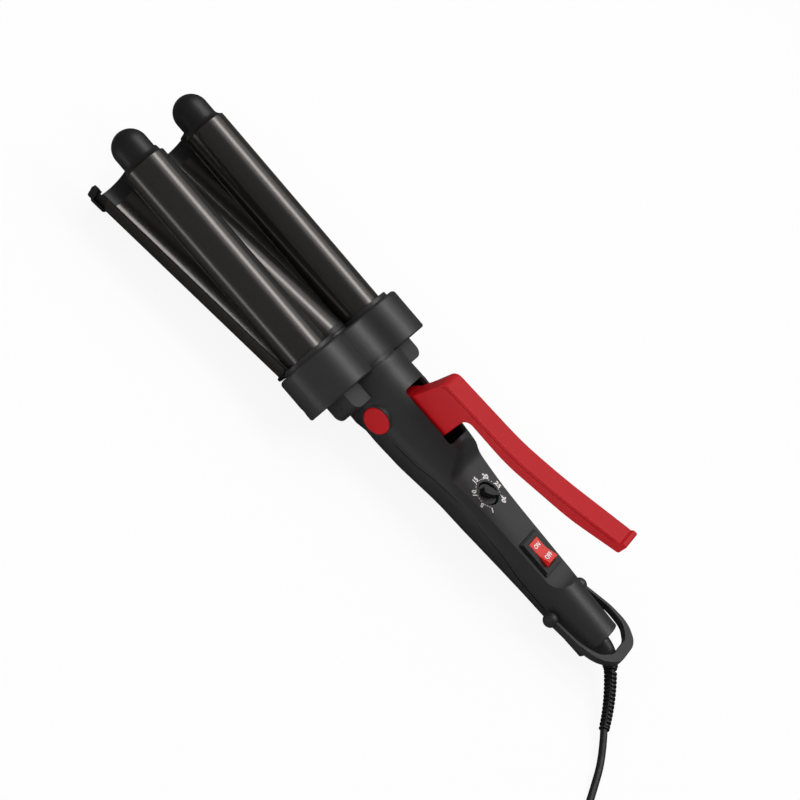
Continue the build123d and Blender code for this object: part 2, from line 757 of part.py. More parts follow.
def jaw_tip_cap():
    """The jaw's plastic end: a cup under the ridge, and a clip, a notched wall and a lug at each rim."""
    end = jaw_front + tip_cap_length
    wall_end = end - end_wall_sink
    rim_y = half_spacing + scallop_radius
    cap = along(wave_outline(0, tip_cap_core), jaw_front, end)
    cap += along(wave_outline(0, tip_cap_thick), jaw_front + tip_clip[0], jaw_front + tip_clip[1])
    for side in (1, -1):
        near, far = sorted((side * half_spacing, side * 2 * half_spacing))
        cap -= block((jaw_front, end), (near, far), (tip_clip_top, 2 * jaw_rim_height))
    cap += along(wave_outline(0, jaw_sheet), jaw_front, end)
    floor = block((jaw_front, wall_end), (-cover_half_width, cover_half_width),
                  (cover_bottom, cover_bottom + cover_thick))
    wall = along(cavity_outline(0), wall_end - cap_wall, wall_end)
    wall += block((wall_end - cap_wall, wall_end), (-cover_half_width, cover_half_width),
                  (cover_bottom, cover_bottom + cover_thick + 1))
    cap += without_scallops(floor + wall, jaw_front, end)
    for side in (1, -1):
        near, far = sorted((side * rim_y, side * (rim_y + tip_lug_width)))
        notch = (jaw_front + tip_notch[0], jaw_front + tip_notch[1])
        cap -= block(notch, (near, far), (0, 2 * jaw_rim_height))
        lug = block((jaw_front + tip_lug[0], jaw_front + tip_lug[1]), (near, far), tip_lug_z)
        cap += fillet(lug.edges().filter_by(Axis.Y), tip_lug_round)
        near, far = sorted((side * rim_y, side * (rim_y + jaw_sheet)))
        cap += block((notch[1], jaw_front + tip_lug[0] + tip_lug_round), (near, far), (0, tip_rim_top))
    return opened(cap)


def jaw_base_cap():
    """The jaw's plastic rear end, with a tongue that follows the collar's lip."""
    start = jaw_back - base_cap_length
    section = wave_outline(0, tip_cap_thick) + cavity_outline(0)
    cap = along(section, start, jaw_back)
    cap += block((start, jaw_back), (-cover_half_width, cover_half_width),
                 (cover_bottom, cover_bottom + cover_thick + 1))
    cap = without_scallops(cap, start, jaw_back)
    tongue = along(section, flange_back, jaw_back)
    tongue &= block((flange_back, jaw_back), (-lip_half_width, lip_half_width), (jaw_arm_top, lobe_radius))
    cap += tongue - rod_y(lip_reach + slide_gap, -lobe_radius, lobe_radius, pivot_x, pivot_z)
    gap = seat_gap
    cap -= block((flange_back, jaw_back + 1), (-jaw_arm_half_width - gap, jaw_arm_half_width + gap),
                 (cover_bottom - 5, jaw_arm_top + gap))
    return opened(cap)


def jaw_back_cover():
    cover = block((jaw_back, jaw_front), (-cover_half_width, cover_half_width),
                  (cover_bottom, cover_bottom + cover_thick))
    for side in (1, -1):
        cover -= rod_x(scallop_radius + jaw_sheet + seat_gap, jaw_back, jaw_front, side * half_spacing)
    cover = opened(cover)
    for screw in cover_screws(grow=running_gap):
        cover -= screw
    return cover


def jaw_spreader():
    """The hollow bar that carries the heat into the jaw's ridge, flat on its heater."""
    radius = ridge_radius - jaw_sheet - seat_gap
    inner = radius - spreader_wall
    bar = rod_x(radius, *jaw_spreader_ends, 0, -ridge_drop)
    bar &= block(jaw_spreader_ends, (-radius, radius), (0, radius))
    hollow = rod_x(inner, *jaw_spreader_ends, 0, -ridge_drop)
    hollow &= block(jaw_spreader_ends, (-inner, inner), (spreader_wall, inner))
    return opened(bar - hollow)


def jaw_heater():
    half = jaw_heater_width / 2
    return opened(block(jaw_heater_ends, (-half, half), (-jaw_heater_thick, 0)))


def thermal_fuse():
    middle = sum(jaw_heater_ends) / 2
    x0 = middle - fuse_length / 2
    return opened(rod_x(fuse_radius, x0, x0 + fuse_length, 0, -jaw_heater_thick - fuse_radius))


def jaw_arm():
    """The arm under the collar: a bar screwed to the cover, and a fork around the lever's hub."""
    floor = cover_bottom + cover_thick
    ramp_start = jaw_back - base_cap_length - 1
    ramp, drop = jaw_arm_ramp
    rear_shelf, front_shelf = (pivot_z + step for step in jaw_arm_shelf)
    outline = [(jaw_arm_front, jaw_arm_top), (jaw_arm_front, floor), (ramp_start, floor),
               (ramp_start - ramp, cover_bottom - drop), jaw_arm_heel, jaw_arm_heel_end, jaw_arm_rear,
               (pivot_x - hub_radius, rear_shelf),
               (pivot_x - hub_radius, pivot_z + hub_radius), (pivot_x + hub_radius, pivot_z + hub_radius),
               (pivot_x + hub_radius, front_shelf), (fork_start_x, jaw_arm_top)]
    radii = [0, 0, 1, 2, jaw_arm_round, jaw_arm_round, jaw_arm_round, 2, hub_radius - 0.5, hub_radius - 0.5,
             2, 2]
    width = jaw_arm_half_width
    arm = side_plate(outline, -width, width, radii)
    fork = lever_half_width + seat_gap
    arm -= block((pivot_x - 40, fork_start_x), (-fork, fork), (-60, 60))
    arm -= rod_y(pin_dia / 2 + running_gap, -width, width, pivot_x, pivot_z)
    arm = opened(arm)
    for screw in arm_screws(grow=running_gap) + cover_screws(grow=running_gap):
        arm -= screw
    return arm


def arm_screws(grow=0.0):
    width = jaw_arm_half_width
    return [opened(rod_y(arm_screw_radius + grow, -width, width, x, z)) for x, z in arm_screw_places]


def cover_screws(grow=0.0):
    length = jaw_arm_top - cover_bottom - 1
    return [opened(screw_z(x, 0, cover_bottom, length, grow=grow)) for x in cover_screw_x]


# ---- controls ----
def dial_knob():
    """A sunk disc with a raised pointer and a stem in the potentiometer."""
    top = panel_height - dial_sink
    disc = rod_z(dial_radius, top - dial_thick, top, 0)
    disc = fillet(disc.edges().group_by(Axis.Z)[-1], dial_round)
    half = pointer_half_width
    tail_round, waist_round, tip_round = pointer_rounds
    outline = make_face(FilletPolyline((-pointer_tail, -half), (pointer_waist, -half), (pointer_tip, 0),
                                       (pointer_waist, half), (-pointer_tail, half),
                                       radius=(tail_round, waist_round, tip_round, waist_round, tail_round),
                                       close=True))
    pointer = extrude(Plane.XY.offset(top) * outline, amount=pointer_height, taper=pointer_taper)
    stem = rod_z(dial_stem_radius, top - dial_thick - dial_stem_depth, top - dial_thick, 0)
    return Pos(dial_x, 0, 0) * Rot(0, 0, dial_angle) * (disc + pointer + stem)


def potentiometer():
    """The variable resistor between board and dial, with a bore for the dial's stem."""
    top = panel_height - dial_sink - dial_thick - slide_gap
    half = pot_size / 2
    body = block((dial_x - half, dial_x + half), (-half, half), (board_top, top))
    return body - rod_z(dial_stem_radius + running_gap, board_top + 1, top, dial_x)


def rocker_axis_z():
    return panel_height + rocker_axis_above_panel


def switch_housing():
    """The stepped bezel and the switch body with its window, pin holes and terminals."""
    half_l, half_w = bezel_length / 2, bezel_width / 2
    top = panel_height + bezel_proud
    step = panel_height + bezel_proud - bezel_step
    body = block((switch_x - half_l, switch_x + half_l), (-half_w, half_w), (panel_height, step))
    half_l -= bezel_step_width
    half_w -= bezel_step_width
    body += block((switch_x - half_l, switch_x + half_l), (-half_w, half_w), (step, top))
    body += block((switch_x - switch_length / 2, switch_x + switch_length / 2),
                  (-switch_width / 2, switch_width / 2), (panel_height - switch_depth, panel_height))
    window = rocker_radius + rocker_gap
    wide = rocker_width / 2 + rocker_gap
    bottom = rocker_axis_z() - rocker_radius
    body -= block((switch_x - window, switch_x + window), (-wide, wide), (bottom, top))
    body -= rod_y(rocker_pin_radius + running_gap, -wide - rocker_pin_length, wide + rocker_pin_length,
                  switch_x, rocker_axis_z())
    floor = panel_height - switch_depth
    for step_x in (-1, 0, 1):
        x = switch_x + step_x * switch_length / 3
        body += block((x - terminal_thick / 2, x + terminal_thick / 2),
                      (-terminal_width / 2, terminal_width / 2), (floor - terminal_length, floor))
    return body


def rocker():
    """A see-saw key on two small pins, its rear end up."""
    axis = rocker_axis_z()
    reach = rocker_radius + 1
    key = side_plate([(-reach, rocker_crest), (0, rocker_valley), (reach, rocker_crest),
                      (reach, -rocker_belly), (-reach, -rocker_belly)],
                     -rocker_width / 2, rocker_width / 2, (0, rocker_dish, 0, 0, 0))
    key &= rod_y(rocker_radius, -rocker_width / 2, rocker_width / 2, 0, 0)
    pin = rocker_width / 2 + rocker_pin_length
    key += rod_y(rocker_pin_radius, -pin, pin, 0, 0)
    return Pos(switch_x, 0, axis) * Rot(0, rocker_half_travel, 0) * key


def board_screws(grow=0.0):
    head_z = board_top + board_screw_sizes[2]
    return [screw_z(x, 0, head_z, board_screw_length, up=False, sizes=board_screw_sizes, grow=grow)
            for x in board_posts()]


def control_board():
    board = block((board_x[1], board_x[0]), (-board_width / 2, board_width / 2),
                  (board_top - board_thick, board_top))
    for screw in board_screws(grow=running_gap):
        board -= screw
    return board


# ---- hanging loop ----
def mirrored_face(points, rounds):
    """A face closed over its mirror image in y, with its corners rounded after the first."""
    across = [(x, -y) for x, y in reversed(points)]
    radii = (0, *rounds, *reversed(rounds), 0)
    return make_face(FilletPolyline(*points, *across, radius=radii, close=True))


def hanging_loop():
    """A flat bail with ball ends and pins in the handle's sides, raised a little."""
    half = loop_outer_half
    corner_x, corner_y = loop_corner
    outer = [(-loop_foot, half - loop_foot_inset), (loop_shoulder, half), (corner_x, corner_y),
             (loop_end, loop_end_half)]
    inner = [(-loop_foot, half - loop_foot_inset - loop_arm_width), (loop_shoulder, half - loop_arm_width),
             (corner_x - loop_corner_width / 2, corner_y - loop_corner_width),
             (loop_end - loop_end_bar, loop_end_half - loop_end_narrowing)]
    ring = mirrored_face(outer, loop_outer_rounds) - mirrored_face(inner, loop_inner_rounds)
    bail = extrude(Plane.XY.offset(-loop_thick / 2) * ring, amount=loop_thick)
    flat_edges = bail.edges().group_by(Axis.Z)
    bail = fillet(flat_edges[0] + flat_edges[-1], loop_edge_round)
    side_flat = handle_stations[-2][1] + slide_gap
    for side in (1, -1):
        ball = Pos(0, side * loop_ball_y, 0) * Rot(90, 0, 0) * Sphere(loop_ball_radius)
        near, far = sorted((side * side_flat, side * handle_reach))
        bail += ball & block((-handle_reach, handle_reach), (near, far), (-handle_reach, handle_reach))
        near, far = sorted((side * (side_flat - shell_wall - 1), side * loop_ball_y))
        bail += rod_y(loop_pin_radius, near, far, 0, 0)
    flip = Rot(0, 0, 180)
    return Pos(loop_x, 0, 0) * Rot(0, loop_raise, 0) * flip * bail


# ---- cord swivel and strain relief ----
def swivel_frame(shape):
    """From the elbow's own plane to the handle's end, turned down towards the table."""
    return Pos(handle_back, 0, 0) * Rot(swivel_droop, 0, 0) * shape


def elbow_place(angle, bend_radius, start, start_angle):
    """The point on an arc that leaves start with heading start_angle from -X towards +Y."""
    a0, a1 = math.radians(start_angle), math.radians(start_angle + angle)
    dx = bend_radius * (math.sin(a1) - math.sin(a0))
    dy = bend_radius * (math.cos(a0) - math.cos(a1))
    return start[0] - dx, start[1] + dy


def cross_plane(point, heading):
    """A plane across the cord's path at a point, for a heading from -X towards +Y."""
    a = math.radians(heading)
    return Plane(origin=(point[0], point[1], 0), x_dir=(0, 0, 1), z_dir=(-math.cos(a), math.sin(a), 0))


elbow_start = (-swivel_straight, 0.0)
elbow_end = elbow_place(elbow_turn, elbow_radius, elbow_start, 0)
relief_radius = relief_length / math.radians(relief_turn)
relief_end = elbow_place(relief_turn, relief_radius, elbow_end, elbow_turn)


def cord_swivel():
    """A drum inside the handle's end, a neck through its wall and a tapering elbow."""
    steps = 5
    sections = [cross_plane((0, 0), 0) * Circle(swivel_root_radius)]
    for step in range(steps + 1):
        share = step / steps
        radius = swivel_root_radius + share * (swivel_tip_radius - swivel_root_radius)
        place = elbow_place(share * elbow_turn, elbow_radius, elbow_start, 0)
        sections.append(cross_plane(place, share * elbow_turn) * Circle(radius))
    horn = loft(sections)
    neck = rod_x(swivel_root_radius, 0, shell_wall + slide_gap)
    inner = shell_wall + slide_gap
    drum = rod_x(swivel_drum_radius, inner, inner + swivel_drum_length)
    return swivel_frame(horn + neck + drum)


def strain_relief():
    """A thin core with ribs that shrink towards the cord, bent a little."""
    path = cross_plane(elbow_end, elbow_turn)
    centre = (elbow_end[0] + relief_radius * math.sin(math.radians(elbow_turn)),
              elbow_end[1] + relief_radius * math.cos(math.radians(elbow_turn)))
    axis = Axis((centre[0], centre[1], 0), (0, 0, -1))
    core = revolve(path * Circle(relief_core_radius), axis, revolution_arc=relief_turn)
    for rib in range(relief_ribs):
        share = (rib + 0.5) / relief_ribs
        place = elbow_place(share * relief_turn, relief_radius, elbow_end, elbow_turn)
        radius = relief_rib_start + share * (relief_rib_end - relief_rib_start)
        plane = cross_plane(place, elbow_turn + share * relief_turn)
        core += extrude(plane * Circle(radius), amount=relief_rib_thick / 2, both=True)
    return swivel_frame(core)


def swivel_contacts():
    """The fixed contact ring that the swivel's drum turns against."""
    start = handle_back + shell_wall + slide_gap + swivel_drum_length
    start += slide_gap
    ring = rod_x(handle_end_radius - shell_wall - seat_gap, start, start + contact_block_length)
    return ring - rod_x(swivel_tip_radius, start, start + contact_block_length)


# ---- laying the tool on the table ----
def table_placement():
    """The tilt and lift that bring the jaw tip's clip and the handle's end round onto z = 0."""
    swing = math.radians(jaw_opening)
    dx = jaw_front + tip_clip[1] - pivot_x
    dz = -(scallop_radius + tip_cap_thick) - pivot_z
    tip = (pivot_x + dx * math.cos(swing) + dz * math.sin(swing),
           pivot_z + dz * math.cos(swing) - dx * math.sin(swing))
    heel = (handle_back + handle_end_round, -handle_end_radius + handle_end_round)
    length = math.hypot(tip[0] - heel[0], tip[1] - heel[1])
    slope = math.atan2(tip[1] - heel[1], tip[0] - heel[0]) + math.asin(handle_end_round / length)
    lift = -(tip[0] * math.sin(slope) - tip[1] * math.cos(slope))
    return -math.degrees(slope), -lift


tilt, lift = table_placement()


def on_table(shape):
    return Pos(0, 0, lift) * Rot(0, -tilt, 0) * shape


# ---- cord on the table ----
def tube_through(points):
    """A tube of the cord's diameter along straight runs joined by arcs as large as they allow."""
    corners = [Vector(*point) for point in points]
    runs = [b - a for a, b in zip(corners, corners[1:])]
    radii = []
    for first, second in zip(runs, runs[1:]):
        half_turn = math.radians(first.get_angle(second)) / 2
        radii.append(0.45 * min(first.length, second.length) / math.tan(half_turn))
    path = FilletPolyline(*corners, radius=radii)
    print("cord radii", [round(radius, 1) for radius in radii], "length", round(path.length, 1))
    start = Plane(origin=path @ 0, z_dir=path % 0)
    tube = sweep(start * Circle(cord_dia / 2), path=path)
    print("volume ratio", round(tube.volume / (path.length * math.pi * cord_dia ** 2 / 4), 4))
    return tube


def cord_exit():
    """Where the cord leaves the strain relief, on the table."""
    spot = on_table(swivel_frame(Pos(relief_end[0], relief_end[1], 0) * Sphere(0.1)))
    return spot.center()


def cord_lead():
    return tube_through([tuple(cord_exit()), *lead_points])


def cord_tail():
    return tube_through(tail_points)


def cord_coil():
    inner = coil_turn_radii[0] - cord_dia / 2
    outer = coil_turn_radii[-1] + cord_dia / 2
    height = coil_pitch * (coil_layers - 1) + cord_dia
    x, y = coil_centre
    return rod_z(outer, 0, height, x, y) - rod_z(inner, 0, height, x, y)


def plug_frame(shape):
    """From the plug's own axis to the end of the cord's tail."""
    before, end = tail_points[-2], tail_points[-1]
    heading = math.degrees(math.atan2(end[1] - before[1], end[0] - before[0]))
    return Pos(end[0], end[1], end[2]) * Rot(0, 0, heading) * shape


def plug_body():
    length, width, height = plug_size
    body = block((plug_neck_length, plug_neck_length + length), (-width / 2, width / 2),
                 (-height / 2, height / 2))
    body = fillet(body.edges().filter_by(Axis.Z), plug_round)
    body = fillet(body.edges().group_by(Axis.Z)[-1] + body.edges().group_by(Axis.Z)[0], 2.0)
    neck = rod_x(plug_neck_radius, 0, plug_neck_length + 2)
    body = body + neck
    for blade in blade_solids(seat_gap):
        body -= blade
    return plug_frame(body)


def blade_solids(grow=0.0):
    """The plug's two flat blades, seated in its face."""
    length, thick, wide = blade_size
    face = plug_neck_length + plug_size[0]
    return [block((face - blade_root - grow, face + length),
                  (side * blade_spacing / 2 - thick / 2 - grow, side * blade_spacing / 2 + thick / 2 + grow),
                  (-wide / 2 - grow, wide / 2 + grow)) for side in (1, -1)]


def plug_blades():
    return [plug_frame(blade) for blade in blade_solids()]


# ---- all nodes ----
nodes = {
    "handle_upper_shell": handle_shell(True),
    "handle_lower_shell": handle_shell(False),
    "collar_upper": collar_half(True),
    "collar_lower": collar_half(False),
    "collar_screws": collar_screws(),
    "handle_screws": handle_screws(),
    "pivot_pin": pivot_pin(),
    "return_spring": return_spring(),
    "control_board": control_board(),
    "board_screws": board_screws(),
    "potentiometer": potentiometer(),
    "switch_housing": switch_housing(),
    "swivel_contacts": swivel_contacts(),
    "lever": lever(),
    "jaw_arm": jaw_arm(),
    "arm_screws": arm_screws(),
    "cover_screws": cover_screws(),
    "jaw_plate": jaw_plate(),
    "jaw_tip_cap": jaw_tip_cap(),
    "jaw_base_cap": jaw_base_cap(),
    "jaw_back_cover": jaw_back_cover(),
    "jaw_spreader": jaw_spreader(),
    "jaw_heater": jaw_heater(),
    "thermal_fuse": thermal_fuse(),
    "dial_knob": dial_knob(),
    "rocker": rocker(),
    "hanging_loop": hanging_loop(),
    "cord_swivel": cord_swivel(),
    "strain_relief": strain_relief(),
}
for name, side in sides:
    nodes["barrel_" + name] = barrel(side)
    nodes["barrel_flange_" + name] = barrel_flange(side)
    nodes["cool_tip_" + name] = cool_tip(side)
    nodes["barrel_heater_" + name] = barrel_heater(side)
    nodes["heat_spreader_" + name] = heat_spreader(side)
    nodes["pivot_cap_" + name] = pivot_cap(side)

cord_nodes = {
    "cord_lead": cord_lead(),
    "cord_coil": cord_coil(),
    "cord_tail": cord_tail(),
    "plug_body": plug_body(),
    "plug_blades": plug_blades(),
}


def as_group(shape):
    """One shape from a solid or a list of solids."""
    return Compound(children=list(shape)) if isinstance(shape, list) else shape


placed = {name: on_table(as_group(shape)) for name, shape in nodes.items()}
on_cord = ("cord_swivel", "strain_relief")
boxes = [shape.bounding_box() for name, shape in placed.items() if name not in on_cord]
centre_x = (min(box.min.X for box in boxes) + max(box.max.X for box in boxes)) / 2
placed.update({name: as_group(shape) for name, shape in cord_nodes.items()})

os.makedirs("parts", exist_ok=True)
for name, shape in placed.items():
    export_step(Pos(-centre_x, 0, 0) * shape, "parts/" + name + ".step")
print("tilt", round(tilt, 3), "lift", round(lift, 3), "centre x", round(centre_x, 3))
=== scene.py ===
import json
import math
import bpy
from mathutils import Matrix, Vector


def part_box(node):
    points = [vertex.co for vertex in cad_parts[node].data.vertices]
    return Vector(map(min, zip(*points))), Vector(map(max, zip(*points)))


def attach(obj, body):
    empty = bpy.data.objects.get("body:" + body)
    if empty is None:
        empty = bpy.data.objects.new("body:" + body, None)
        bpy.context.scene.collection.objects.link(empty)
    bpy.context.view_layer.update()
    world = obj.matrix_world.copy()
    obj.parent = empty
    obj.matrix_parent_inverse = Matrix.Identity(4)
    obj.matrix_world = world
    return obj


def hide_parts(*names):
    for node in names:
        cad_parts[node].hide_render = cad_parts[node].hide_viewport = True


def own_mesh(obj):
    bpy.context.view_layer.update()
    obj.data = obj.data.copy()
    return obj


bl_info = {
    "name": "Hair Waver",
    "version": (1, 0, 0),
    "blender": (4, 5, 0),
    "location": "View3D > Sidebar > Hair Waver",
    "description": "Dresses the packed hair waver with its cord, finishes, print and fine detail",
    "category": "Object",
}

import bmesh
import bpy
from bpy.props import FloatProperty, FloatVectorProperty, IntProperty, PointerProperty
from mathutils import Matrix, Vector

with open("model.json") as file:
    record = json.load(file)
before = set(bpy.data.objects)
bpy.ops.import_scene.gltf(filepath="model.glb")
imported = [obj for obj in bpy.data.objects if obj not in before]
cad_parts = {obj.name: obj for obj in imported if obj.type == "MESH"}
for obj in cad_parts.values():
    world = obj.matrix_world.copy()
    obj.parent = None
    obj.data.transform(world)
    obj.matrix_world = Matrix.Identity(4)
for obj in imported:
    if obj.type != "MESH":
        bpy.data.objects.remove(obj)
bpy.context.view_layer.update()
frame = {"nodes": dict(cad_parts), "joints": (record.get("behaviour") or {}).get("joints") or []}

# ---- the tool's own frame ----
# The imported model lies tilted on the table. Pieces on the tool are drawn in millimetres in the
# tool's frame: X to the barrel tips, Y to the left, Z to the lever, with x = 0 at the barrels'
# flanges and z = 0 at the barrels' axes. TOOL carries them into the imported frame, in metres.
MM = 0.001
joints = {joint["name"]: joint for joint in frame["joints"]}
handle_end_x = -216.0
tool_x = Vector(joints["cord_turn"]["axis"])
tool_z = Vector(joints["dial_turn"]["axis"])
tool_origin = Vector(joints["cord_turn"]["pos_m"]) - handle_end_x * MM * tool_x
tool_turn = Matrix((tool_x, (0, 1, 0), tool_z)).transposed().to_4x4()
TOOL = Matrix.Translation(tool_origin) @ tool_turn @ Matrix.Scale(MM, 4)

# ---- places on the tool, in millimetres ----
panel_z = 9.2
dial_x = -117.6
switch_x = -159.6
swivel_droop = -7.6
elbow_straight = 3.0
elbow_turn = 50.0
elbow_radius = 15.0
relief_turn = 17.0
relief_length = 36.0


class WaverFinish(bpy.types.PropertyGroup):
    """Colours and gloss of the waver's finishes."""

    shell_colour: FloatVectorProperty(
        name="Shell", description="Black satin moulding of handle and collar", subtype="COLOR", size=3,
        min=0, max=1, default=(0.02, 0.02, 0.021))
    shell_roughness: FloatProperty(
        name="Shell roughness", description="Roughness of the black moulding", min=0, max=1, default=0.42)
    coating_colour: FloatVectorProperty(
        name="Coating", description="Dark warm coating of barrels and jaw plate", subtype="COLOR", size=3,
        min=0, max=1, default=(0.105, 0.098, 0.094))
    coating_roughness: FloatProperty(
        name="Coating roughness", description="Roughness of the heated surfaces", min=0, max=1, default=0.24)
    red_colour: FloatVectorProperty(
        name="Red", description="Red moulding of lever and pivot caps", subtype="COLOR", size=3,
        min=0, max=1, default=(0.44, 0.005, 0.009))
    print_colour: FloatVectorProperty(
        name="Print", description="White print on dial scale and switch", subtype="COLOR", size=3,
        min=0, max=1, default=(0.8, 0.8, 0.8))


class WaverCord(bpy.types.PropertyGroup):
    """Sizes of the mains lead."""

    diameter: FloatProperty(
        name="Diameter", description="Width of the lead", unit="LENGTH", min=0.002, max=0.01, default=0.004)
    length: FloatProperty(
        name="Length", description="Real length of the lead", unit="LENGTH", min=0.5, max=4, default=1.82)
    steps: IntProperty(
        name="Points a turn", description="Points of the route in each turn of the coil", min=12, max=48,
        default=24)


class WaverStage(bpy.types.PropertyGroup):
    """Camera and lamps."""

    lens: FloatProperty(
        name="Lens", description="Focal length for a 36 mm wide sensor, in millimetres", min=20, max=300,
        default=84.47)
    strip_power: FloatProperty(
        name="Strip", description="Power of the long strip lamp", min=0, default=8.0)
    box_power: FloatProperty(
        name="Softbox", description="Power of the broad overhead lamp", min=0, default=5.0)
    card_power: FloatProperty(name="Card", description="Power of the low card in front", min=0, default=0.055)
    room_light: FloatProperty(name="Room", description="Strength of the room's light", min=0, default=0.4)
    fill_power: FloatProperty(name="Fill", description="Power of the fill lamp", min=0, default=6.0)
    room_mirrored: FloatProperty(
        name="Room mirrored", description="Strength of the room in reflections", min=0, default=0.11)
    floor_mirrored: FloatProperty(
        name="Floor mirrored", description="Shade of the floor in reflections", min=0, max=1, default=0.1)


# ---- finishes ----
tip_black = (0.007, 0.007, 0.007)
bezel_black = (0.012, 0.012, 0.013)
knob_black = (0.01, 0.01, 0.01)
lead_black = (0.006, 0.006, 0.006)
# near-black for the painted shade in the handle's seam
seam_shade_black = (0.003, 0.003, 0.003)
# near-black for the painted shade in the gap round the switch's bezel
gap_shade_black = (0.004, 0.004, 0.004)
key_red = (0.72, 0.02, 0.012)
key_reds = ((0.78, 0.028, 0.016), (0.62, 0.015, 0.01))
blade_brass = (0.75, 0.6, 0.32)
contact_brass = (0.7, 0.55, 0.28)
screw_grey = (0.5, 0.5, 0.51)
wire_grey = (0.6, 0.6, 0.6)
bar_grey = (0.7, 0.7, 0.71)
ceramic_white = (0.75, 0.73, 0.68)
board_green = (0.03, 0.16, 0.06)
floor_white = (0.82, 0.82, 0.82)


def new_finish(name, colour, roughness, metallic=0.0):
    """A material with its shader."""
    material = bpy.data.materials.new(name)
    material.use_nodes = True
    shader = material.node_tree.nodes["Principled BSDF"]
    shader.inputs["Base Color"].default_value = (*colour, 1)
    shader.inputs["Roughness"].default_value = roughness
    shader.inputs["Metallic"].default_value = metallic
    return material, shader


def add_node(material, kind, **values):
    node = material.node_tree.nodes.new(kind)
    for key, value in values.items():
        if hasattr(node, key):
            setattr(node, key, value)
        else:
            node.inputs[key.replace("_", " ")].default_value = value
    return node


def noise(material, scale, detail=3.0, stretch=(1, 1, 1)):
    """Noise with so many features to the metre, stretched along the piece's axes."""
    place = add_node(material, "ShaderNodeTexCoord")
    mapping = add_node(material, "ShaderNodeMapping", Scale=stretch)
    texture = add_node(material, "ShaderNodeTexNoise", Scale=scale, Detail=detail)
    links = material.node_tree.links
    links.new(place.outputs["Object"], mapping.inputs["Vector"])
    links.new(mapping.outputs["Vector"], texture.inputs["Vector"])
    return texture.outputs["Fac"]


def add_grain(material, shader, scale, depth, detail=3.0, stretch=(1, 1, 1)):
    """Fine relief in the surface, depth in millimetres."""
    bump = add_node(material, "ShaderNodeBump", Distance=depth * MM, Strength=1.0)
    links = material.node_tree.links
    links.new(noise(material, scale, detail, stretch), bump.inputs["Height"])
    links.new(bump.outputs["Normal"], shader.inputs["Normal"])


def vary(material, shader, socket, scale, low, high, stretch=(1, 1, 1)):
    """Let a shader value wander between low and high over the surface."""
    ramp = add_node(material, "ShaderNodeMapRange", To_Min=low, To_Max=high)
    ramp.inputs["From Min"].default_value = 0.3
    ramp.inputs["From Max"].default_value = 0.7
    links = material.node_tree.links
    links.new(noise(material, scale, 4.0, stretch), ramp.inputs["Value"])
    links.new(ramp.outputs["Result"], shader.inputs[socket])


def vary_colour(material, shader, scale, first, second, stretch=(1, 1, 1)):
    """Let the colour wander between two near shades."""
    mix = add_node(material, "ShaderNodeMix", data_type="RGBA")
    mix.inputs[6].default_value = (*first, 1)
    mix.inputs[7].default_value = (*second, 1)
    links = material.node_tree.links
    links.new(noise(material, scale, 4.0, stretch), mix.inputs[0])
    links.new(mix.outputs[2], shader.inputs["Base Color"])


def shade(colour, factor):
    return tuple(min(1.0, part * factor) for part in colour)


def shell_plastic():
    finish = bpy.context.scene.waver_finish
    material, shader = new_finish("black_satin_moulding", finish.shell_colour, finish.shell_roughness)
    vary_colour(material, shader, 60, shade(finish.shell_colour, 0.85), shade(finish.shell_colour, 1.15))
    vary(material, shader, "Roughness", 900, finish.shell_roughness - 0.03, finish.shell_roughness + 0.03)
    add_grain(material, shader, 1800, 0.0015)
    return material


def barrel_coating():
    finish = bpy.context.scene.waver_finish
    rough = finish.coating_roughness
    material, shader = new_finish("dark_heat_coating", finish.coating_colour, rough, metallic=0.9)
    vary_colour(material, shader, 300, shade(finish.coating_colour, 0.93), shade(finish.coating_colour, 1.07))
    vary(material, shader, "Roughness", 500, rough - 0.015, rough + 0.015)
    add_grain(material, shader, 1500, 0.0002)
    return material


def tip_plastic():
    material, shader = new_finish("tip_moulding", tip_black, 0.46)
    vary(material, shader, "Roughness", 900, 0.42, 0.5)
    add_grain(material, shader, 3000, 0.004)
    return material


def red_moulding():
    finish = bpy.context.scene.waver_finish
    material, shader = new_finish("red_moulding", finish.red_colour, 0.4)
    shader.inputs["Specular IOR Level"].default_value = 0.25
    vary_colour(material, shader, 80, shade(finish.red_colour, 0.95), shade(finish.red_colour, 1.05))
    vary(material, shader, "Roughness", 900, 0.35, 0.41)
    add_grain(material, shader, 1600, 0.0004)
    return material


def bezel_plastic():
    material, shader = new_finish("bezel_moulding", bezel_black, 0.3)
    vary(material, shader, "Roughness", 900, 0.26, 0.34)
    add_grain(material, shader, 3000, 0.003)
    return material


def rocker_lens():
    material, shader = new_finish("red_clear_moulding", key_red, 0.16)
    shader.inputs["Subsurface Weight"].default_value = 0.35
    shader.inputs["Subsurface Radius"].default_value = (0.004, 0.0006, 0.0004)
    shader.inputs["Coat Weight"].default_value = 0.6
    vary_colour(material, shader, 150, *key_reds)
    return material


def white_print():
    finish = bpy.context.scene.waver_finish
    material, shader = new_finish("white_print", finish.print_colour, 0.5)
    vary_colour(material, shader, 1500, shade(finish.print_colour, 0.9), shade(finish.print_colour, 1.05))
    return material


def knob_plastic():
    material, shader = new_finish("knob_moulding", knob_black, 0.34)
    vary(material, shader, "Roughness", 900, 0.3, 0.4)
    add_grain(material, shader, 3000, 0.003)
    return material


def lead_rubber():
    material, shader = new_finish("lead_sheath", lead_black, 0.5)
    vary(material, shader, "Roughness", 400, 0.44, 0.58)
    add_grain(material, shader, 2200, 0.01)
    return material


def bare_metal(name, colour, roughness):
    material, shader = new_finish(name, colour, roughness, metallic=1.0)
    vary(material, shader, "Roughness", 500, roughness - 0.06, roughness + 0.06, stretch=(1, 6, 1))
    add_grain(material, shader, 3000, 0.002, stretch=(1, 8, 1))
    return material


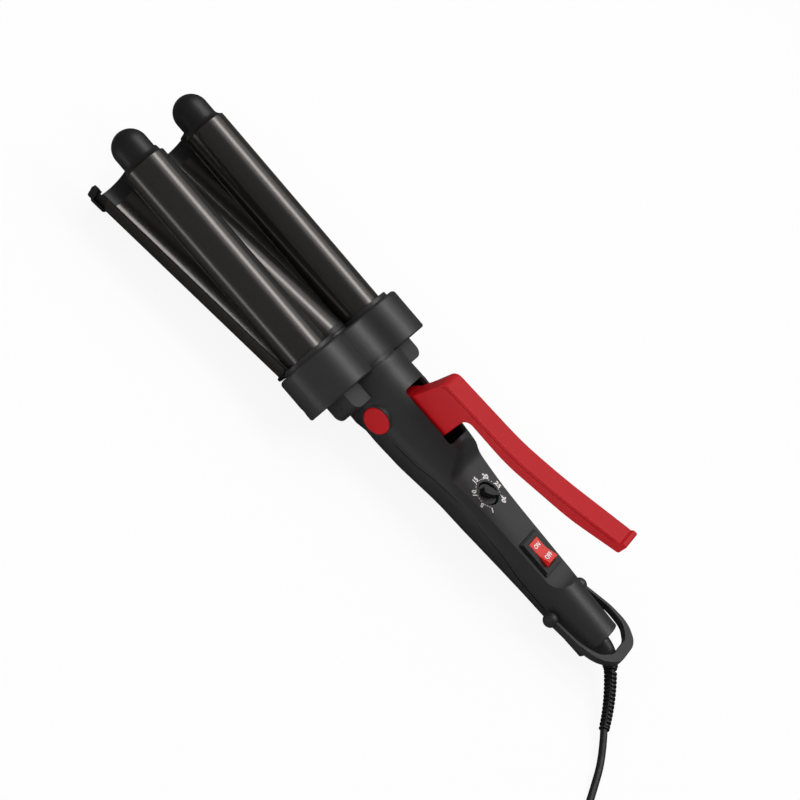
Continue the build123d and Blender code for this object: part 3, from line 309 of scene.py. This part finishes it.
def plain_matt(name, colour, roughness, scale=400):
    material, shader = new_finish(name, colour, roughness)
    vary_colour(material, shader, scale, shade(colour, 0.88), shade(colour, 1.1))
    add_grain(material, shader, 1800, 0.01)
    return material


# ---- putting pieces in place ----
def tool_piece(name, bm, smooth_angle=35):
    """An object from vertices drawn in millimetres in the tool's frame."""
    bm.transform(TOOL)
    bmesh.ops.recalc_face_normals(bm, faces=bm.faces)
    mesh = bpy.data.meshes.new(name)
    bm.to_mesh(mesh)
    bm.free()
    mesh.shade_smooth()
    mesh.set_sharp_from_angle(angle=math.radians(smooth_angle))
    piece = bpy.data.objects.new(name, mesh)
    bpy.context.scene.collection.objects.link(piece)
    return piece


def settle(piece, material, slot, body, *nodes):
    """Give a piece its material and its body, and hide the CAD nodes it stands for. The slot argument is not
    used.
    """
    piece.data.materials.append(material)
    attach(piece, body)
    if nodes:
        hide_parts(*nodes)
    return piece


def dress(material, *nodes):
    """Paint CAD nodes that keep their shape."""
    for name in nodes:
        node = frame["nodes"][name]
        node.data.materials.clear()
        node.data.materials.append(material)


def first_hit(start, direction, *nodes):
    """Where a ray drawn in the tool's frame first meets one of the CAD nodes, in millimetres."""
    start, direction = Vector(start), Vector(direction)
    found = []
    for name in nodes:
        node = frame["nodes"][name]
        to_node = node.matrix_world.inverted() @ TOOL
        hit, place, _, _ = node.ray_cast(to_node @ start, (to_node.to_3x3() @ direction).normalized())
        if hit:
            found.append(TOOL.inverted() @ (node.matrix_world @ place))
    if not found:
        raise RuntimeError(f"no part of {nodes} lies along {direction} from {start}")
    return min(found, key=lambda place: (place - start).length)


def tube(bm, line, radius, sides=8):
    """A closed round tube about a line of points."""
    rings = []
    for number, point in enumerate(line):
        onward = (line[min(number + 1, len(line) - 1)] - line[max(number - 1, 0)]).normalized()
        across = onward.orthogonal() if not rings else (across - across.dot(onward) * onward)
        across.normalize()
        upward = onward.cross(across)
        turns = [2 * math.pi * side / sides for side in range(sides)]
        rings.append([point + radius * (math.cos(turn) * across + math.sin(turn) * upward) for turn in turns])
    loft(bm, rings)


# ---- swivel, strain relief and lead ----
def elbow_place(angle, bend_radius, start, start_angle):
    """The point on an arc that leaves start with heading start_angle from -X towards +Y."""
    a0, a1 = math.radians(start_angle), math.radians(start_angle + angle)
    dx = bend_radius * (math.sin(a1) - math.sin(a0))
    dy = bend_radius * (math.cos(a0) - math.cos(a1))
    return Vector((start.x - dx, start.y + dy, 0))


elbow_start = Vector((-elbow_straight, 0, 0))
elbow_end = elbow_place(elbow_turn, elbow_radius, elbow_start, 0)
relief_radius = relief_length / math.radians(relief_turn)
relief_end = elbow_place(relief_turn, relief_radius, elbow_end, elbow_turn)
relief_rows = 14
relief_split = 30.0             # degrees round the relief from its upper side to the split of its two rows
relief_block_radius = (3.6, 2.85)
relief_core_radius = (2.5, 1.9)
relief_sleeve = 1.6             # plain stretch at either end
block_length = 1.4
block_edge = 0.25
block_gap = 9.0                 # degrees left open between a block and the split
block_root = 0.4                # how deep a block stands in the core
block_steps = 12
core_steps = 24
relief_sides = 32
SWIVEL = Matrix.Translation((handle_end_x, 0, 0)) @ Matrix.Rotation(math.radians(swivel_droop), 4, "X")


def loft(bm, rings):
    """A closed skin over rings of points, with a flat face over the first and over the last."""
    rows = [[bm.verts.new(point) for point in ring] for ring in rings]
    for near, far in zip(rows, rows[1:]):
        for number in range(len(near)):
            bm.faces.new((near[number - 1], near[number], far[number], far[number - 1]))
    bm.faces.new(reversed(rows[0]))
    bm.faces.new(rows[-1])


def between(ends, share):
    return ends[0] + share * (ends[1] - ends[0])


def relief_frame(along):
    """The relief's cross plane so many millimetres from the elbow: X up, Y inwards, Z to the lead."""
    share = along / relief_length
    heading = math.radians(elbow_turn + share * relief_turn)
    place = elbow_place(share * relief_turn, relief_radius, elbow_end, elbow_turn)
    onward = Vector((-math.cos(heading), math.sin(heading), 0))
    inward = Vector((math.sin(heading), math.cos(heading), 0))
    axes = Matrix((Vector((0, 0, 1)), inward, onward)).transposed()
    return SWIVEL @ Matrix.Translation(place) @ axes.to_4x4()


def round_point(along, radius, degrees):
    turn = math.radians(degrees)
    return relief_frame(along) @ Vector((radius * math.cos(turn), radius * math.sin(turn), 0))


def relief_block(bm, middle, first_degree):
    """Half a ring round the core, with small chamfers on its outer edges."""
    radius = between(relief_block_radius, middle / relief_length)
    inner = between(relief_core_radius, middle / relief_length) - block_root
    half = block_length / 2
    profile = ((inner, -half), (radius - block_edge, -half), (radius, block_edge - half),
               (radius, half - block_edge), (radius - block_edge, half), (inner, half))
    span = 180 - 2 * block_gap
    loft(bm, [[round_point(middle + along, reach, first_degree + block_gap + span * step / block_steps)
               for reach, along in profile] for step in range(block_steps + 1)])


def relief_piece():
    """A tapering core with two staggered rows of half rings and a plain sleeve at either end."""
    bm = bmesh.new()
    degrees = [360 * side / relief_sides for side in range(relief_sides)]
    stations = [(relief_length * step / core_steps, between(relief_core_radius, step / core_steps))
                for step in range(core_steps + 1)]
    loft(bm, [[round_point(along, radius, turn) for turn in degrees] for along, radius in stations])
    for start, end in ((0, relief_sleeve), (relief_length - relief_sleeve / 2, relief_length)):
        radius = between(relief_block_radius, start / relief_length)
        rounded = ((start, radius - 1), (start, radius), (end - block_edge, radius),
                   (end, radius - block_edge), (end, radius - 1))
        loft(bm, [[round_point(along, reach, turn) for turn in degrees] for along, reach in rounded])
    pitch = (relief_length - 1.5 * relief_sleeve) / (relief_rows + 0.5)
    for row in range(relief_rows):
        middle = relief_sleeve + pitch * (row + 0.5)
        relief_block(bm, middle, relief_split)
        relief_block(bm, middle + pitch / 2, relief_split + 180)
    return tool_piece("strain_relief_moulding", bm, smooth_angle=30)


# the lead's route on the table, in metres from the coil's centre at table height
lead_route = ((0.0472, -0.0582, 0.0034), (0.0412, -0.0397, 0.00205), (0.0348, -0.0147, 0.002),
              (0.0258, 0.0113, 0.002))
tail_route = ((-0.0113, 0.0258, 0.0143), (-0.0282, 0.0179, 0.012), (-0.0412, 0.0043, 0.0086),
              (-0.0468, -0.0127, 0.007))
ring_radii = (0.0282, 0.0241, 0.0200, 0.0200, 0.0241, 0.0282)
layer_step = 0.0041
layers = 4
coil_start_angle = 23.6
coil_turns = 11.25
shift_share = 0.3


def coil_centre():
    low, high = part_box("cord_coil")
    return Vector(((low.x + high.x) / 2, (low.y + high.y) / 2, 0))


def turn_ring(turn):
    """Radius and height of a whole turn: three side by side, in, then out on the layer above."""
    layer = min(turn // 3, layers - 1)
    return ring_radii[turn % 6], 0.002 + layer * layer_step


def coil_point(turns):
    """A point of the winding after so many turns: a level ring that shifts to the next near its end."""
    whole = int(turns)
    radius, height = turn_ring(whole)
    next_radius, next_height = turn_ring(whole + 1)
    share = max(0.0, (turns - whole - 1 + shift_share) / shift_share)
    share = share * share * (3 - 2 * share)
    angle = math.radians(coil_start_angle) + 2 * math.pi * turns
    radius += share * (next_radius - radius)
    height += share * (next_height - height)
    return Vector((radius * math.cos(angle), radius * math.sin(angle), height))


def lead_points():
    centre = coil_centre()
    steps = bpy.context.scene.waver_cord.steps
    start = TOOL @ SWIVEL @ relief_end
    points = [start, *(centre + Vector(point) for point in lead_route)]
    count = round(coil_turns * steps)
    points += [centre + coil_point(number / steps) for number in range(1, count)]
    points += [centre + Vector(point) for point in tail_route]
    return points


def mains_lead(rubber):
    """The whole lead as one smooth curve, from the strain relief to the plug."""
    sizes = bpy.context.scene.waver_cord
    points = lead_points()
    curve = bpy.data.curves.new("mains_lead", "CURVE")
    curve.dimensions = "3D"
    curve.bevel_depth = sizes.diameter / 2
    curve.bevel_resolution = 6
    curve.resolution_u = 6
    spline = curve.splines.new("NURBS")
    spline.points.add(len(points) - 1)
    for point, place in zip(spline.points, points):
        point.co = (*place, 1)
    spline.order_u = 3
    spline.use_endpoint_u = True
    piece = bpy.data.objects.new("mains_lead", curve)
    bpy.context.scene.collection.objects.link(piece)
    settle(piece, rubber, "cord_rubber", "cord_end", "cord_lead", "cord_coil", "cord_tail")
    return piece, points


# ---- stage ----
# in the tool's frame: the camera's place in millimetres, and its right and its up
camera_at = Vector((-26.14, 729.26, 679.71))
camera_right = Vector((-0.64925, -0.50540, 0.56837))
camera_up = Vector((0.76020, -0.45455, 0.46419))

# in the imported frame, in metres: size and place of each lamp
strip_size, strip_place = (1.8, 0.3), (0.0, -0.45, 1.15)
box_size, box_place = (1.6, 1.5), (0.0, -0.60, 1.2)
card_size, card_place = (0.34, 0.03), (0.05, 0.103, 0.001)
fill_size, fill_place = (1.2, 1.2), (0.1, 1.05, 0.55)
lamp_aim = (0, 0, 0.03)
floor_half_size = 3.0
floor_clear = 0.0005            # below the table's height
floor_glow = 0.9                # share of plain white in the floor that the camera sees


def make_camera():
    stage = bpy.context.scene.waver_stage
    data = bpy.data.cameras.new("camera")
    data.lens = stage.lens
    data.sensor_width = 36
    camera = bpy.data.objects.new("camera", data)
    bpy.context.scene.collection.objects.link(camera)
    axes = Matrix((camera_right, camera_up, camera_right.cross(camera_up))).transposed()
    turn = (TOOL.to_3x3() @ axes).to_quaternion().to_matrix().to_4x4()
    camera.matrix_world = Matrix.Translation(TOOL @ camera_at) @ turn
    bpy.context.scene.camera = camera


def lamp(name, power, size, place, aim=lamp_aim):
    data = bpy.data.lights.new(name, "AREA")
    data.shape = "RECTANGLE"
    data.size, data.size_y = size
    data.energy = power
    light = bpy.data.objects.new(name, data)
    bpy.context.scene.collection.objects.link(light)
    light.location = place
    light.rotation_mode = "QUATERNION"
    light.rotation_quaternion = (Vector(aim) - Vector(place)).to_track_quat("-Z", "Y")
    return light


def by_ray(tree, plain, mirrored, seen, output):
    """The seen shader for the camera, the mirrored one for glossy rays, the plain one for the rest."""
    path = tree.nodes.new("ShaderNodeLightPath")
    for ray, shader in (("Is Glossy Ray", mirrored), ("Is Camera Ray", seen)):
        mix = tree.nodes.new("ShaderNodeMixShader")
        tree.links.new(path.outputs[ray], mix.inputs["Fac"])
        tree.links.new(plain.outputs[0], mix.inputs[1])
        tree.links.new(shader.outputs[0], mix.inputs[2])
        plain = mix
    tree.links.new(plain.outputs[0], output)


def make_room():
    """White to the camera, dim in reflections, and an even light on the whole object."""
    stage = bpy.context.scene.waver_stage
    world = bpy.data.worlds.new("room")
    world.use_nodes = True
    tree = world.node_tree
    plain = tree.nodes["Background"]
    mirrored = tree.nodes.new("ShaderNodeBackground")
    white = tree.nodes.new("ShaderNodeBackground")
    for shader, strength in ((plain, stage.room_light), (mirrored, stage.room_mirrored), (white, 1.0)):
        shader.inputs["Color"].default_value = (1, 1, 1, 1)
        shader.inputs["Strength"].default_value = strength
    by_ray(tree, plain, mirrored, white, tree.nodes["World Output"].inputs["Surface"])
    bpy.context.scene.world = world


def make_floor():
    """A pale sheet that keeps the object's shadow."""
    stage = bpy.context.scene.waver_stage
    bm = bmesh.new()
    bmesh.ops.create_grid(bm, x_segments=8, y_segments=8, size=floor_half_size)
    mesh = bpy.data.meshes.new("floor")
    bm.to_mesh(mesh)
    bm.free()
    floor = bpy.data.objects.new("floor", mesh)
    floor.location.z = -floor_clear
    bpy.context.scene.collection.objects.link(floor)
    material, shader = new_finish("floor_paint", floor_white, 0.9)
    shader.inputs["Specular IOR Level"].default_value = 0.1
    tree = material.node_tree
    glow = tree.nodes.new("ShaderNodeEmission")
    keep = tree.nodes.new("ShaderNodeMixShader")
    keep.inputs["Fac"].default_value = floor_glow
    tree.links.new(shader.outputs[0], keep.inputs[1])
    tree.links.new(glow.outputs[0], keep.inputs[2])
    mirrored = tree.nodes.new("ShaderNodeBsdfDiffuse")
    mirrored.inputs["Color"].default_value = (*[stage.floor_mirrored] * 3, 1)
    by_ray(tree, shader, mirrored, keep, tree.nodes["Material Output"].inputs["Surface"])
    mesh.materials.append(material)


def make_lamps():
    stage = bpy.context.scene.waver_stage
    lamp("strip", stage.strip_power, strip_size, strip_place)
    lamp("softbox", stage.box_power, box_size, box_place)
    card = lamp("card", stage.card_power, card_size, card_place, aim=(*card_place[:2], 1))
    card.visible_camera = False
    fill = lamp("fill", stage.fill_power, fill_size, fill_place)
    fill.visible_glossy = False


# ---- dial and switch print ----
def print_mesh(words, height):
    """Thin raised bold lettering in millimetres about its own middle."""
    curve = bpy.data.curves.new("print", "FONT")
    curve.body = words
    curve.offset = print_boldness
    curve.space_character = print_spacing
    curve.resolution_u = print_steps
    holder = bpy.data.objects.new("print", curve)
    mesh = bpy.data.meshes.new_from_object(holder)
    bpy.data.objects.remove(holder)
    low = Vector(min(vertex.co[axis] for vertex in mesh.vertices) for axis in range(3))
    high = Vector(max(vertex.co[axis] for vertex in mesh.vertices) for axis in range(3))
    grow = height / (high.y - low.y)
    mesh.transform(Matrix.Scale(grow, 4) @ Matrix.Translation(-(low + high) / 2))
    return mesh


print_boldness = 0.035
print_spacing = 1.06
print_steps = 4
scale_numbers = ((1, 141), (5, 101), (10, 56), (15, 7), (20, -41), (25, -92), (30, -144))
number_radius = 10.0
number_height = 3.0
dash_radius = 8.3
dash_size = (0.3, 0.9)
dashes_between = 3
print_depth = 0.06
ray_height = 60                 # a place outside the tool, to look for its skin from
READ_FROM_REAR = Matrix.Rotation(math.radians(-90), 4, "Z")


def add_print(bm, words, height, place):
    """Add lettering to a mesh, standing print_depth proud of its place."""
    mesh = print_mesh(words, height)
    lettering = bmesh.new()
    lettering.from_mesh(mesh)
    bpy.data.meshes.remove(mesh)
    bmesh.ops.solidify(lettering, geom=lettering.faces[:], thickness=print_depth)
    lettering.transform(place @ READ_FROM_REAR)
    part = bpy.data.meshes.new("print")
    lettering.to_mesh(part)
    lettering.free()
    bm.from_mesh(part)
    bpy.data.meshes.remove(part)


def dial_print():
    """The numbers round the dial and the short dashes between them."""
    bm = bmesh.new()
    base = Matrix.Translation((dial_x, 0, panel_z + print_depth))
    for number, degrees in scale_numbers:
        turn = Matrix.Rotation(math.radians(degrees), 4, "Z")
        add_print(bm, str(number), number_height, base @ turn @ Matrix.Translation((number_radius, 0, 0)))
    for (_, first), (_, second) in zip(scale_numbers, scale_numbers[1:]):
        for step in range(1, dashes_between + 1):
            degrees = first + (second - first) * step / (dashes_between + 1)
            turn = Matrix.Rotation(math.radians(degrees), 4, "Z")
            size = Matrix.Diagonal((*dash_size, print_depth, 1))
            place = Matrix.Translation((dash_radius, 0, -print_depth / 2))
            bmesh.ops.create_cube(bm, matrix=base @ turn @ place @ size)
    return tool_piece("dial_scale_print", bm)


switch_words = (("ON", 4.4, 2.5), ("OFF", -3.4, 2.5))     # word, place from the rocker's middle, height


def switch_print():
    """ON and OFF on the two halves of the rocker, laid on its surface."""
    bm = bmesh.new()
    for word, along, height in switch_words:
        add_print(bm, word, height, Matrix.Translation((switch_x + along, 0, 0)))
    for vertex in bm.verts:
        top = first_hit((vertex.co.x, vertex.co.y, ray_height), (0, 0, -1), "rocker")
        vertex.co.z += print_depth + top.z
    return tool_piece("switch_words_print", bm)


# ---- handle seam and return spring ----
seam_points = ((-20, -0.3), (-61, 0), (-80, 0.7), (-94, 2.8), (-116, 3.5), (-137, 2.1), (-171, -1.8),
               (-225, -1.8))
seam_spans = ((-66.0, -183.5), (-192.0, -214.0))   # behind the pivot cap, and behind the loop's ball
# radius of the black tube that paints the seam's shade
seam_shade_radius = 0.24
seam_clear = 0.8                # how far above the seam the shell's skin is found
seam_steps = 60


def seam_height(x):
    """Height of the wavy seam at a place along the handle."""
    for (x0, z0), (x1, z1) in zip(seam_points, seam_points[1:]):
        if x0 >= x >= x1:
            share = (x0 - x) / (x0 - x1)
            return z0 + (z1 - z0) * share * share * (3 - 2 * share)
    raise ValueError(x)


def handle_seam():
    """A black tube along the gap between the handle's two shells, on both sides: painted shade in the seam.
    """
    bm = bmesh.new()
    for side in (1, -1):
        for span in seam_spans:
            line = []
            for step in range(seam_steps + 1):
                x = between(span, step / seam_steps)
                z = seam_height(x)
                outside = (x, side * ray_height, z + seam_clear)
                skin = first_hit(outside, (0, -side, 0), "handle_upper_shell")
                line.append(Vector((x, skin.y, z)))
            tube(bm, line, seam_shade_radius)
    return tool_piece("handle_seam", bm)


spring_x = -71.0
spring_ends = (-17.0, 3.0)      # its seat in the handle and the lever's underside
spring_radius = 3.6
spring_wire = 0.9
spring_turns = 7
spring_steps = 28               # points in a turn
spring_closing = 0.95           # rise of a closed turn, as a share of the wire


def spring_piece():
    """A compression spring with a closed turn at either end."""
    bm = bmesh.new()
    low, high = spring_ends[0] + spring_wire / 2, spring_ends[1] - spring_wire / 2
    steps = spring_turns * spring_steps
    line = []
    for step in range(steps + 1):
        share = step / steps
        closed = 1 / spring_turns
        rise = min(1.0, max(0.0, (share - closed) / (1 - 2 * closed)))
        lift = spring_wire * spring_closing * (min(share, closed) + max(0.0, share - 1 + closed)) / closed
        turn = 2 * math.pi * spring_turns * share
        height = low + lift + (high - low - 2 * spring_wire * spring_closing) * rise
        dx, dy = spring_radius * math.cos(turn), spring_radius * math.sin(turn)
        line.append(Vector((spring_x + dx, dy, height)))
    tube(bm, line, spring_wire / 2, sides=10)
    return tool_piece("return_spring_coil", bm)


# ---- painted shade round the switch's bezel ----
shade_rim_inner = (10.85, 8.5)       # half length and half width of the bezel's foot, with its gap
shade_rim_width = 0.55
shade_rim_height = 0.12
shade_rim_corner = 0.8
shade_rim_steps = 6                  # steps round each corner


def rounded_rectangle(half_length, half_width, corner, z):
    """Points round a rectangle with rounded corners about the switch's middle."""
    points = []
    for quarter in range(4):
        turn_x = (1, -1, -1, 1)[quarter] * (half_length - corner)
        turn_y = (1, 1, -1, -1)[quarter] * (half_width - corner)
        for step in range(shade_rim_steps + 1):
            angle = math.radians(90 * quarter + 90 / shade_rim_steps * step)
            dx, dy = corner * math.cos(angle), corner * math.sin(angle)
            points.append((switch_x + turn_x + dx, turn_y + dy, z))
    return points


def switch_seat():
    """A black rim between the bezel and the panel: painted shade in the gap round the bezel."""
    bm = bmesh.new()
    length, width = shade_rim_inner
    wide = shade_rim_width
    rings = [rounded_rectangle(length, width, shade_rim_corner, panel_z - shade_rim_height),
             rounded_rectangle(length, width, shade_rim_corner, panel_z + shade_rim_height),
             rounded_rectangle(length + wide, width + wide, shade_rim_corner + wide, panel_z + shade_rim_height),
             rounded_rectangle(length + wide, width + wide, shade_rim_corner + wide, panel_z - shade_rim_height)]
    rows = [[bm.verts.new(point) for point in ring] for ring in rings]
    for level in range(4):
        near, far = rows[level - 1], rows[level]
        for number in range(len(near)):
            bm.faces.new((near[number - 1], near[number], far[number], far[number - 1]))
    return tool_piece("switch_seat", bm)


# ---- operators ----
class WaverOperator:
    bl_options = {"REGISTER", "UNDO"}


class OBJECT_OT_waver_stage(WaverOperator, bpy.types.Operator):
    """Set the camera, the floor, the lamps and the room"""

    bl_idname = "object.waver_stage"
    bl_label = "Stage"

    def execute(self, context):
        context.scene.view_settings.view_transform = "Standard"
        make_camera()
        make_room()
        make_floor()
        make_lamps()
        return {"FINISHED"}


class OBJECT_OT_waver_lead(WaverOperator, bpy.types.Operator):
    """Lay the mains lead with its coil, strain relief and plug"""

    bl_idname = "object.waver_lead"
    bl_label = "Mains lead"

    def execute(self, context):
        rubber = lead_rubber()
        dress(rubber, "plug_body")
        relief = settle(relief_piece(), rubber, "cord_rubber", "cord_end", "strain_relief")
        dress(shell_plastic(), "cord_swivel")
        dress(bare_metal("blade_brass", blade_brass, 0.3), "plug_blades")
        lead, points = mains_lead(rubber)
        return {"FINISHED"}


class OBJECT_OT_waver_barrels(WaverOperator, bpy.types.Operator):
    """Finish the heated barrels, their flanges and their cool tips"""

    bl_idname = "object.waver_barrels"
    bl_label = "Barrels"

    def execute(self, context):
        coating = barrel_coating()
        shell = shell_plastic()
        tip = tip_plastic()
        for side in ("left", "right"):
            dress(coating, "barrel_" + side)
            dress(shell, "barrel_flange_" + side)
            dress(tip, "cool_tip_" + side)
        return {"FINISHED"}


class OBJECT_OT_waver_jaw(WaverOperator, bpy.types.Operator):
    """Finish the jaw plate, its caps, its cover and its arm"""

    bl_idname = "object.waver_jaw"
    bl_label = "Jaw"

    def execute(self, context):
        dress(barrel_coating(), "jaw_plate")
        dress(tip_plastic(), "jaw_tip_cap", "jaw_base_cap")
        dress(shell_plastic(), "jaw_back_cover", "jaw_arm")
        return {"FINISHED"}


class OBJECT_OT_waver_handle(WaverOperator, bpy.types.Operator):
    """Finish the collar, the handle shells and the hanging loop"""

    bl_idname = "object.waver_handle"
    bl_label = "Handle"

    def execute(self, context):
        shell = shell_plastic()
        dress(shell, "collar_upper", "collar_lower", "handle_upper_shell", "handle_lower_shell",
              "hanging_loop")
        # the black seam tube is painted shade of the gap between the shells
        settle(handle_seam(), plain_matt("seam_shade", seam_shade_black, 0.8), "black_shell", "grip")
        return {"FINISHED"}


class OBJECT_OT_waver_lever(WaverOperator, bpy.types.Operator):
    """Finish the red lever and the pivot caps"""

    bl_idname = "object.waver_lever"
    bl_label = "Lever"

    def execute(self, context):
        red = red_moulding()
        dress(red, "lever", "pivot_cap_left", "pivot_cap_right")
        return {"FINISHED"}


class OBJECT_OT_waver_dial(WaverOperator, bpy.types.Operator):
    """Finish the heat dial and print its scale"""

    bl_idname = "object.waver_dial"
    bl_label = "Heat dial"

    def execute(self, context):
        dress(knob_plastic(), "dial_knob")
        settle(dial_print(), white_print(), "black_shell", "grip")
        return {"FINISHED"}


class OBJECT_OT_waver_switch(WaverOperator, bpy.types.Operator):
    """Finish the rocker switch"""

    bl_idname = "object.waver_switch"
    bl_label = "Rocker switch"

    def execute(self, context):
        dress(bezel_plastic(), "switch_housing")
        # the black rim round the bezel is painted shade of the gap, not a real part
        settle(switch_seat(), plain_matt("bezel_gap_shade", gap_shade_black, 0.7), "bezel", "grip")
        dress(rocker_lens(), "rocker")
        settle(switch_print(), white_print(), "red_key", "power_rocker")
        return {"FINISHED"}


class OBJECT_OT_waver_inner_parts(WaverOperator, bpy.types.Operator):
    """Finish the screws, the pin, the spring and the parts inside"""

    bl_idname = "object.waver_inner_parts"
    bl_label = "Screws and inner parts"

    def execute(self, context):
        steel = bare_metal("screw_steel", screw_grey, 0.32)
        dress(steel, "collar_screws", "handle_screws", "board_screws", "arm_screws", "cover_screws",
              "pivot_pin")
        spring = settle(spring_piece(), bare_metal("spring_wire", wire_grey, 0.25), "spring_steel", "grip",
                        "return_spring")
        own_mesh(spring)
        bars = bare_metal("bar_aluminium", bar_grey, 0.4)
        ceramic = plain_matt("heater_ceramic", ceramic_white, 0.6)
        for side in ("left", "right"):
            dress(bars, "heat_spreader_" + side)
            dress(ceramic, "barrel_heater_" + side)
        dress(bars, "jaw_spreader")
        dress(ceramic, "jaw_heater")
        dress(plain_matt("board_resin", board_green, 0.5), "control_board")
        dress(shell_plastic(), "potentiometer")
        dress(bare_metal("contact_brass", contact_brass, 0.35), "swivel_contacts", "thermal_fuse")
        return {"FINISHED"}


class VIEW3D_PT_waver(bpy.types.Panel):
    bl_label = "Hair Waver"
    bl_idname = "VIEW3D_PT_waver"
    bl_space_type = "VIEW_3D"
    bl_region_type = "UI"
    bl_category = "Hair Waver"

    def draw(self, context):
        scene = context.scene
        for group in (scene.waver_finish, scene.waver_cord, scene.waver_stage):
            box = self.layout.box()
            for name in group.__annotations__:
                box.prop(group, name)
        for operator in operators:
            self.layout.operator(operator.bl_idname)


groups = {"waver_finish": WaverFinish, "waver_cord": WaverCord, "waver_stage": WaverStage}
operators = (OBJECT_OT_waver_stage, OBJECT_OT_waver_lead, OBJECT_OT_waver_barrels, OBJECT_OT_waver_jaw,
             OBJECT_OT_waver_handle, OBJECT_OT_waver_lever, OBJECT_OT_waver_dial, OBJECT_OT_waver_switch,
             OBJECT_OT_waver_inner_parts)


def register():
    for name, group in groups.items():
        bpy.utils.register_class(group)
        setattr(bpy.types.Scene, name, PointerProperty(type=group))
    for operator in operators:
        bpy.utils.register_class(operator)
    bpy.utils.register_class(VIEW3D_PT_waver)


def unregister():
    bpy.utils.unregister_class(VIEW3D_PT_waver)
    for operator in reversed(operators):
        bpy.utils.unregister_class(operator)
    for name, group in groups.items():
        delattr(bpy.types.Scene, name)
        bpy.utils.unregister_class(group)


def main():
    register()
    bpy.ops.object.waver_stage()
    bpy.ops.object.waver_lead()
    bpy.ops.object.waver_barrels()
    bpy.ops.object.waver_jaw()
    bpy.ops.object.waver_handle()
    bpy.ops.object.waver_lever()
    bpy.ops.object.waver_dial()
    bpy.ops.object.waver_switch()
    bpy.ops.object.waver_inner_parts()


if __name__ == "__main__":
    main()
